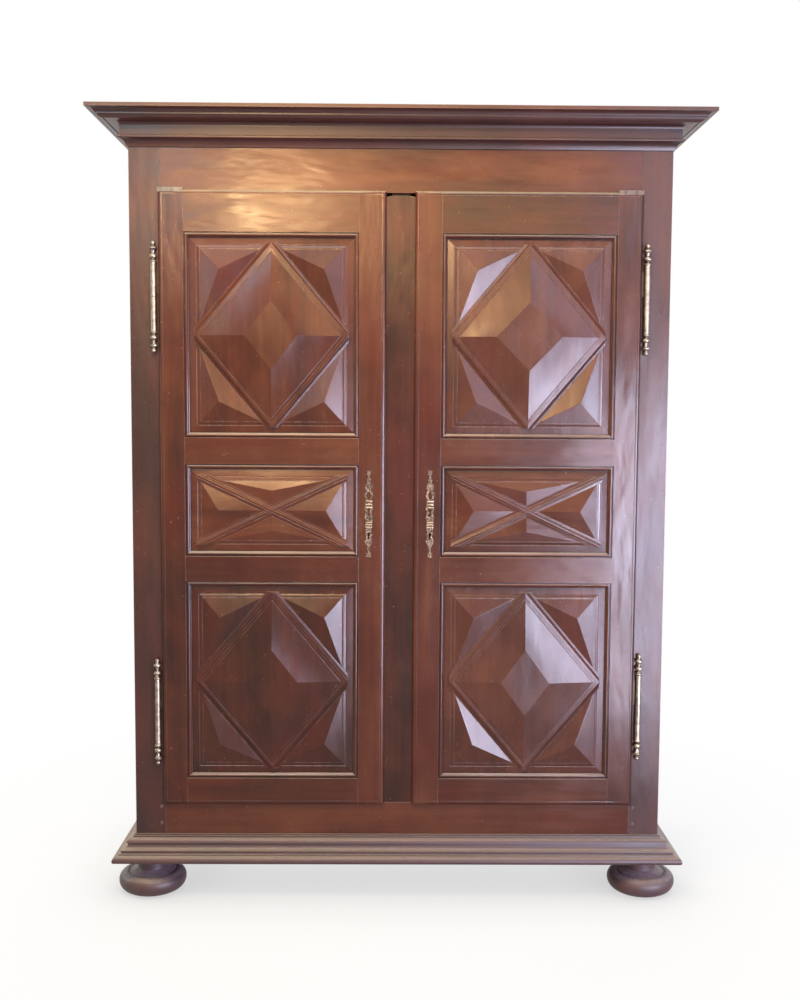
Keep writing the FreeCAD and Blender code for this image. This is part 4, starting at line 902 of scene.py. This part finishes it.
class CUPBOARD_OT_joinery(bpy.types.Operator):
    """Finish the posts, rails and stiles of the frame as waxed walnut with softened arrises"""
    bl_idname = "cupboard.joinery"
    bl_label = "Joinery"

    def execute(self, context):
        for node in sorted(NODES):
            words = ("post", "rail", "stile", "side_panels", "pegs")
            if not any(word in node for word in words) or node in ("back_rails", "cornice_back_rail"):
                continue
            # Bands near the tops of the doors' outer pieces: painted highlights along their top edges, with pale end
            # grain on the stiles.
            ends = None
            if "hinge_stile" in node:
                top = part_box(node)[1].z
                ends = (top - 13 * MM, top - 11 * MM)
            elif "door_top_rail" in node or "lock_stile" in node:
                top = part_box(node)[1].z
                ends = (top - 3.5 * MM, top - 2.0 * MM)
            dress(node, board_finish(node, grain_of(node), own_shift(node), ends), 1.1 * MM)
        return {"FINISHED"}


def dress(node, finish, arris):
    """Gives a node of the frame its finish, and softens its arrises."""
    piece = NODES[node]
    piece.data.materials.clear()
    piece.data.materials.append(finish)
    weld = piece.modifiers.new("Weld", "WELD")
    weld.merge_threshold = 1e-5
    flatten = piece.modifiers.new("Flatten", "DECIMATE")
    flatten.decimate_type = "DISSOLVE"
    flatten.angle_limit = math.radians(0.5)
    bevel = piece.modifiers.new("Arrises", "BEVEL")
    bevel.width = arris
    bevel.segments = 2
    bevel.limit_method = "ANGLE"
    bevel.angle_limit = math.radians(35)
    crisp_facets(piece)


class CUPBOARD_OT_inside(bpy.types.Operator):
    """Finish the boards inside and behind as bare poplar"""
    bl_idname = "cupboard.inside"
    bl_label = "Inside boards"

    def execute(self, context):
        # The last tone darkens the inside corners: painted shade with dirt.
        tones = [linear("#4E3423"), linear("#6B4B33"), linear("#8A6748"), linear("#33241A")]
        for node in ("back_rails", "back_boards", "floor_boards", "upper_shelf", "middle_shelf", "lower_shelf",
                     "left_shelf_cleats", "right_shelf_cleats", "cornice_top_boards", "cornice_back_rail"):
            finish = plain_poplar("bare_poplar_" + node, grain_of(node), own_shift(node), tones)
            dress(node, finish, 1.2 * MM)
        return {"FINISHED"}


class CUPBOARD_OT_panels(bpy.types.Operator):
    """Carve the six door panels"""
    bl_idname = "cupboard.panels"
    bl_label = "Carved panels"

    def execute(self, context):
        carving = context.scene.cupboard_carving
        for side in ("left", "right"):
            for name, make, grain in (("upper", tall_panel, "z"), ("middle", crossed_panel, "x"),
                                      ("lower", tall_panel, "z")):
                node = side + "_door_" + name + "_panel"
                make(node, carving, board_finish(node, grain, own_shift(node)))
        return {"FINISHED"}


class CUPBOARD_OT_mouldings(bpy.types.Operator):
    """Run the cornice and the base moulding round the body"""
    bl_idname = "cupboard.mouldings"
    bl_label = "Cornice and base"

    def execute(self, context):
        low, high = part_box("cornice_front")
        _, front, _ = carcass_plan()
        projection = front - low.y
        height = high.z - low.z
        outline = outline_points(CORNICE_SHARES, projection, height)
        outline += [(projection * (1 - CORNICE_BOARD_SHARE), height), (-CORNICE_BEARING, CORNICE_LIP),
                    (-CORNICE_BEARING, 0.0)]
        finishes = {grain: board_finish("cornice", grain, (3.1, 0.7, 2.3)) for grain in ("x", "y")}
        mitred_set("cornice", outline, finishes)
        low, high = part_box("base_front")
        outline = outline_points(BASE_SHARES, front - low.y, high.z - low.z)
        finishes = {grain: board_finish("base", grain, (1.9, 2.7, 0.4)) for grain in ("x", "y")}
        mitred_set("base", outline, finishes)
        return {"FINISHED"}


class CUPBOARD_OT_feet(bpy.types.Operator):
    """Turn the two bun feet"""
    bl_idname = "cupboard.feet"
    bl_label = "Feet"

    def execute(self, context):
        for side in ("left", "right"):
            node = "front_" + side + "_foot"
            turned_foot(side, board_finish(node, "z", own_shift(node)))
        return {"FINISHED"}


class CUPBOARD_OT_fittings(bpy.types.Operator):
    """Make the hinges, escutcheons and locks"""
    bl_idname = "cupboard.fittings"
    bl_label = "Hinges and locks"

    def execute(self, context):
        pin_y = hinge_middles("left")[0].y
        # Leaves behind the pin take painted shade.
        barrel_brass = aged_brass("turned_brass", brass_tones("barrel"), 3.0, 0.1, pin_y + 3 * MM)
        plate_brass = aged_brass("cast_brass", brass_tones("plate"), 2.0, 5.0)
        bead_brass = aged_brass("rubbed_brass", brass_tones("bead"), 2.0, 0.1)
        iron = forged_iron("forged_iron", [linear("#1C1815"), linear("#2C2622"), linear("#4A3A30")])
        for side in ("left", "right"):
            hinge_set(side, barrel_brass)
            dress(side + "_escutcheon", plate_brass, 0.4 * MM)
            escutcheon_beads(side, bead_brass)
            dress(side + "_lock_case", iron, 1.2 * MM)
            dress(side + "_lock_bolt", iron, 0.8 * MM)
        return {"FINISHED"}


def background_rays(tree):
    """The share of rays that look at the background: the camera's, and those off gloss and through glass."""
    path = add_node(tree, "ShaderNodeLightPath").outputs
    seen = add_node(tree, "ShaderNodeMath", {"operation": "MAXIMUM"}, i0=path["Is Camera Ray"],
                    i1=path["Is Glossy Ray"])
    seen = add_node(tree, "ShaderNodeMath", {"operation": "MAXIMUM"}, i0=seen.outputs["Value"],
                    i1=path["Is Transmission Ray"])
    return seen.outputs["Value"]


def pale_floor():
    """A white floor with a painted contact shadow where it sees less sky, a little of the object's real shadow near
    it, and plain white far off.
    """
    material, tree = start_material("pale_floor")
    place = add_node(tree, "ShaderNodeTexCoord").outputs["Object"]
    far = add_node(tree, "ShaderNodeVectorMath", {"operation": "LENGTH"}, i0=place).outputs["Value"]
    # Painted contact shadow: the white dims where the object hides the sky.
    sky_seen_for_painted_shadow = add_node(tree, "ShaderNodeAmbientOcclusion", {"samples": 8}, Distance=0.30).outputs["AO"]
    white = add_node(tree, "ShaderNodeEmission", Color=linear("#FFFFFF"),
                     Strength=mask(tree, sky_seen_for_painted_shadow, 0.25, 0.95, 0.70, 1.0))
    shaded = add_node(tree, "ShaderNodeBsdfDiffuse", Color=linear("#FFFFFF"))
    near = mask(tree, far, 0.9, 1.9, 0.14, 0.0)
    shown = add_node(tree, "ShaderNodeMixShader", Fac=near, i1=white.outputs[0], i2=shaded.outputs[0])
    bounce = add_node(tree, "ShaderNodeBsdfDiffuse", Color=linear("#A8A29C"))
    either = add_node(tree, "ShaderNodeMixShader", Fac=background_rays(tree), i1=bounce.outputs[0],
                      i2=shown.outputs[0])
    add_node(tree, "ShaderNodeOutputMaterial", Surface=either.outputs[0])
    return material


DAYLIGHT = (0.62, 0.72, 1.0)
BLUE_DAYLIGHT = (0.54, 0.45, 1.0)
EVENING_WINDOW = (0.70, 0.75, 1.0)
GREEN_WALL = (0.32, 0.75, 1.0)
WHITE_WALL = (0.90, 0.95, 1.0)
LAMPLIGHT = (1.0, 0.65, 0.31)
SHADED_LAMPLIGHT = (1.0, 0.81, 0.36)
LAMPS = [
    ("window", (2.0, -3.43, 0.85), (0.4, -0.25, 1.1), (1.5, 1.3), 15.0, BLUE_DAYLIGHT, "surface"),
    ("window_gloss", (1.6, -3.43, 0.85), (0.4, -0.25, 1.1), (0.8, 1.3), 40.0, EVENING_WINDOW, "gloss"),
    ("side_window", (3.3, -2.9, 0.9), (0.6, -0.25, 1.0), (1.0, 1.4), 62.0, DAYLIGHT, "gloss"),
    ("window_head", (2.0, -3.43, 2.7), (0.5, -0.25, 1.8), (1.5, 1.0), 7.0, DAYLIGHT, "gloss"),
    ("window_foot", (1.5, -2.3, 0.12), (0.7, -0.25, 0.5), (1.3, 0.2), 47.0, EVENING_WINDOW, "gloss"),
    ("ceiling", (-0.6, -1.5, 3.05), (-0.1, -0.3, 1.6), (1.3, 0.9), 17.0, SHADED_LAMPLIGHT, "surface"),
    ("ceiling_gloss", (0.0, -1.45, 3.1), (0.0, -1.2, 0.0), (3.0, 1.0), 7.0, WHITE_WALL, "gloss"),
    ("hanging_lamp", (-0.70, -3.43, 2.46), (-0.36, -0.25, 1.94), (0.30, 0.20), 240.0, LAMPLIGHT, "gloss"),
    ("lamp_over_it", (-0.55, -3.43, 3.08), (-0.3, -0.35, 2.15), (0.9, 0.3), 12.0, LAMPLIGHT, "gloss"),
    ("lamp_beside_it", (0.35, -3.43, 2.45), (0.1, -0.25, 1.9), (1.4, 0.5), 7.5, LAMPLIGHT, "gloss"),
    ("upper_wall", (-1.45, -3.43, 2.75), (-0.75, -0.25, 2.05), (0.45, 0.6), 15.0, GREEN_WALL, "gloss"),
    ("left_wall", (-2.6, -2.9, 2.3), (-0.7, -0.25, 2.0), (0.8, 1.0), 5.0, GREEN_WALL, "gloss"),
    ("left_fill", (-3.4, 0.5, 1.6), (-0.75, 0.1, 1.2), (1.5, 1.8), 5.0, WHITE_WALL, "both"),
    ("right_fill", (3.4, 0.5, 1.6), (0.75, 0.1, 1.2), (1.5, 1.8), 5.0, WHITE_WALL, "both"),
    ("back_fill", (0.4, 3.6, 2.0), (0.0, 0.3, 1.2), (2.2, 1.6), 5.0, WHITE_WALL, "both"),
]


def soft_lamp(name, place, aim, size, radiance, colour, lights="both"):
    """A flat lamp that faces a point. It lights surfaces, or shows in their gloss, or both."""
    data = bpy.data.lights.new(name, "AREA")
    data.shape = "RECTANGLE"
    data.size, data.size_y = size
    data.energy = radiance * math.pi * size[0] * size[1]
    data.color = colour[:3]
    lamp = bpy.data.objects.new(name, data)
    bpy.context.scene.collection.objects.link(lamp)
    way = Vector(aim) - Vector(place)
    lamp.matrix_world = Matrix.Translation(place) @ way.to_track_quat("-Z", "Y").to_matrix().to_4x4()
    lamp.visible_camera = False
    lamp.visible_diffuse = lights != "gloss"
    lamp.visible_glossy = lights != "surface"
    return lamp


class CUPBOARD_OT_stage(bpy.types.Operator):
    """Set the floor, the lights and the camera"""
    bl_idname = "cupboard.stage"
    bl_label = "Studio"

    def execute(self, context):
        stage = context.scene.cupboard_stage
        bm = bmesh.new()
        bmesh.ops.create_circle(bm, cap_ends=True, segments=96, radius=30.0)
        mesh = bpy.data.meshes.new("floor")
        bm.to_mesh(mesh)
        bm.free()
        floor = bpy.data.objects.new("floor", mesh)
        context.scene.collection.objects.link(floor)
        mesh.materials.append(pale_floor())
        world = bpy.data.worlds.new("room")
        context.scene.world = world
        world.use_nodes = True
        tree = world.node_tree
        tree.nodes.clear()
        light = add_node(tree, "ShaderNodeBackground", Color=linear("#FFF8F0"), Strength=stage.room_light)
        white = add_node(tree, "ShaderNodeBackground", Color=linear("#FFFFFF"), Strength=1.0)
        shown = add_node(tree, "ShaderNodeMixShader", Fac=background_rays(tree), i1=light.outputs[0],
                         i2=white.outputs[0])
        add_node(tree, "ShaderNodeOutputWorld", Surface=shown.outputs[0])
        for name, place, aim, size, radiance, colour, lights in LAMPS:
            share = stage.lamps if lights == "gloss" else stage.soft_light
            soft_lamp(name, place, aim, size, radiance * share, colour, lights)
        place_camera(context, stage.lens)
        context.scene.view_settings.view_transform = "Standard"
        return {"FINISHED"}


def place_camera(context, lens):
    """The camera stands in front at chest height, and is tipped down a little."""
    data = bpy.data.cameras.new("camera")
    data.lens = lens
    data.sensor_width = 36.0
    data.clip_end = 100.0
    camera = bpy.data.objects.new("camera", data)
    context.scene.collection.objects.link(camera)
    yaw, pitch, roll = 0.0092, 0.0772, 0.0058
    ahead = Vector((math.sin(yaw) * math.cos(pitch), math.cos(yaw) * math.cos(pitch), -math.sin(pitch)))
    right = Vector((math.cos(yaw), -math.sin(yaw), 0))
    up = right.cross(ahead)
    turned_right = math.cos(roll) * right + math.sin(roll) * up
    turned_up = math.cos(roll) * up - math.sin(roll) * right
    turn = Matrix((turned_right, turned_up, -ahead)).transposed().to_4x4()
    camera.matrix_world = Matrix.Translation((-0.0277, -3.4265, 1.3857)) @ turn
    context.scene.camera = camera


class CUPBOARD_PT_sidebar(bpy.types.Panel):
    """The cupboard's operators, in the order in which they are used"""
    bl_idname = "CUPBOARD_PT_sidebar"
    bl_label = "Cupboard"
    bl_space_type = "VIEW_3D"
    bl_region_type = "UI"
    bl_category = "Cupboard"

    def draw(self, context):
        for operator in OPERATORS:
            self.layout.operator(operator.bl_idname)


OPERATORS = (CUPBOARD_OT_stage, CUPBOARD_OT_joinery, CUPBOARD_OT_inside, CUPBOARD_OT_mouldings,
             CUPBOARD_OT_panels, CUPBOARD_OT_feet, CUPBOARD_OT_fittings)
GROUPS = {"cupboard_wood": CupboardWood, "cupboard_hinges": CupboardHinges,
          "cupboard_carving": CupboardCarving, "cupboard_stage": CupboardStage}


def register():
    for kind in (*GROUPS.values(), *OPERATORS, CUPBOARD_PT_sidebar):
        bpy.utils.register_class(kind)
    for name, group in GROUPS.items():
        setattr(bpy.types.Scene, name, PointerProperty(type=group))


def unregister():
    for name in GROUPS:
        delattr(bpy.types.Scene, name)
    for kind in (CUPBOARD_PT_sidebar, *reversed(OPERATORS), *reversed(GROUPS.values())):
        bpy.utils.unregister_class(kind)


def main():
    register()
    bpy.ops.cupboard.stage()
    bpy.ops.cupboard.joinery()
    bpy.ops.cupboard.inside()
    bpy.ops.cupboard.mouldings()
    bpy.ops.cupboard.panels()
    bpy.ops.cupboard.feet()
    bpy.ops.cupboard.fittings()


if __name__ == "__main__":
    main()
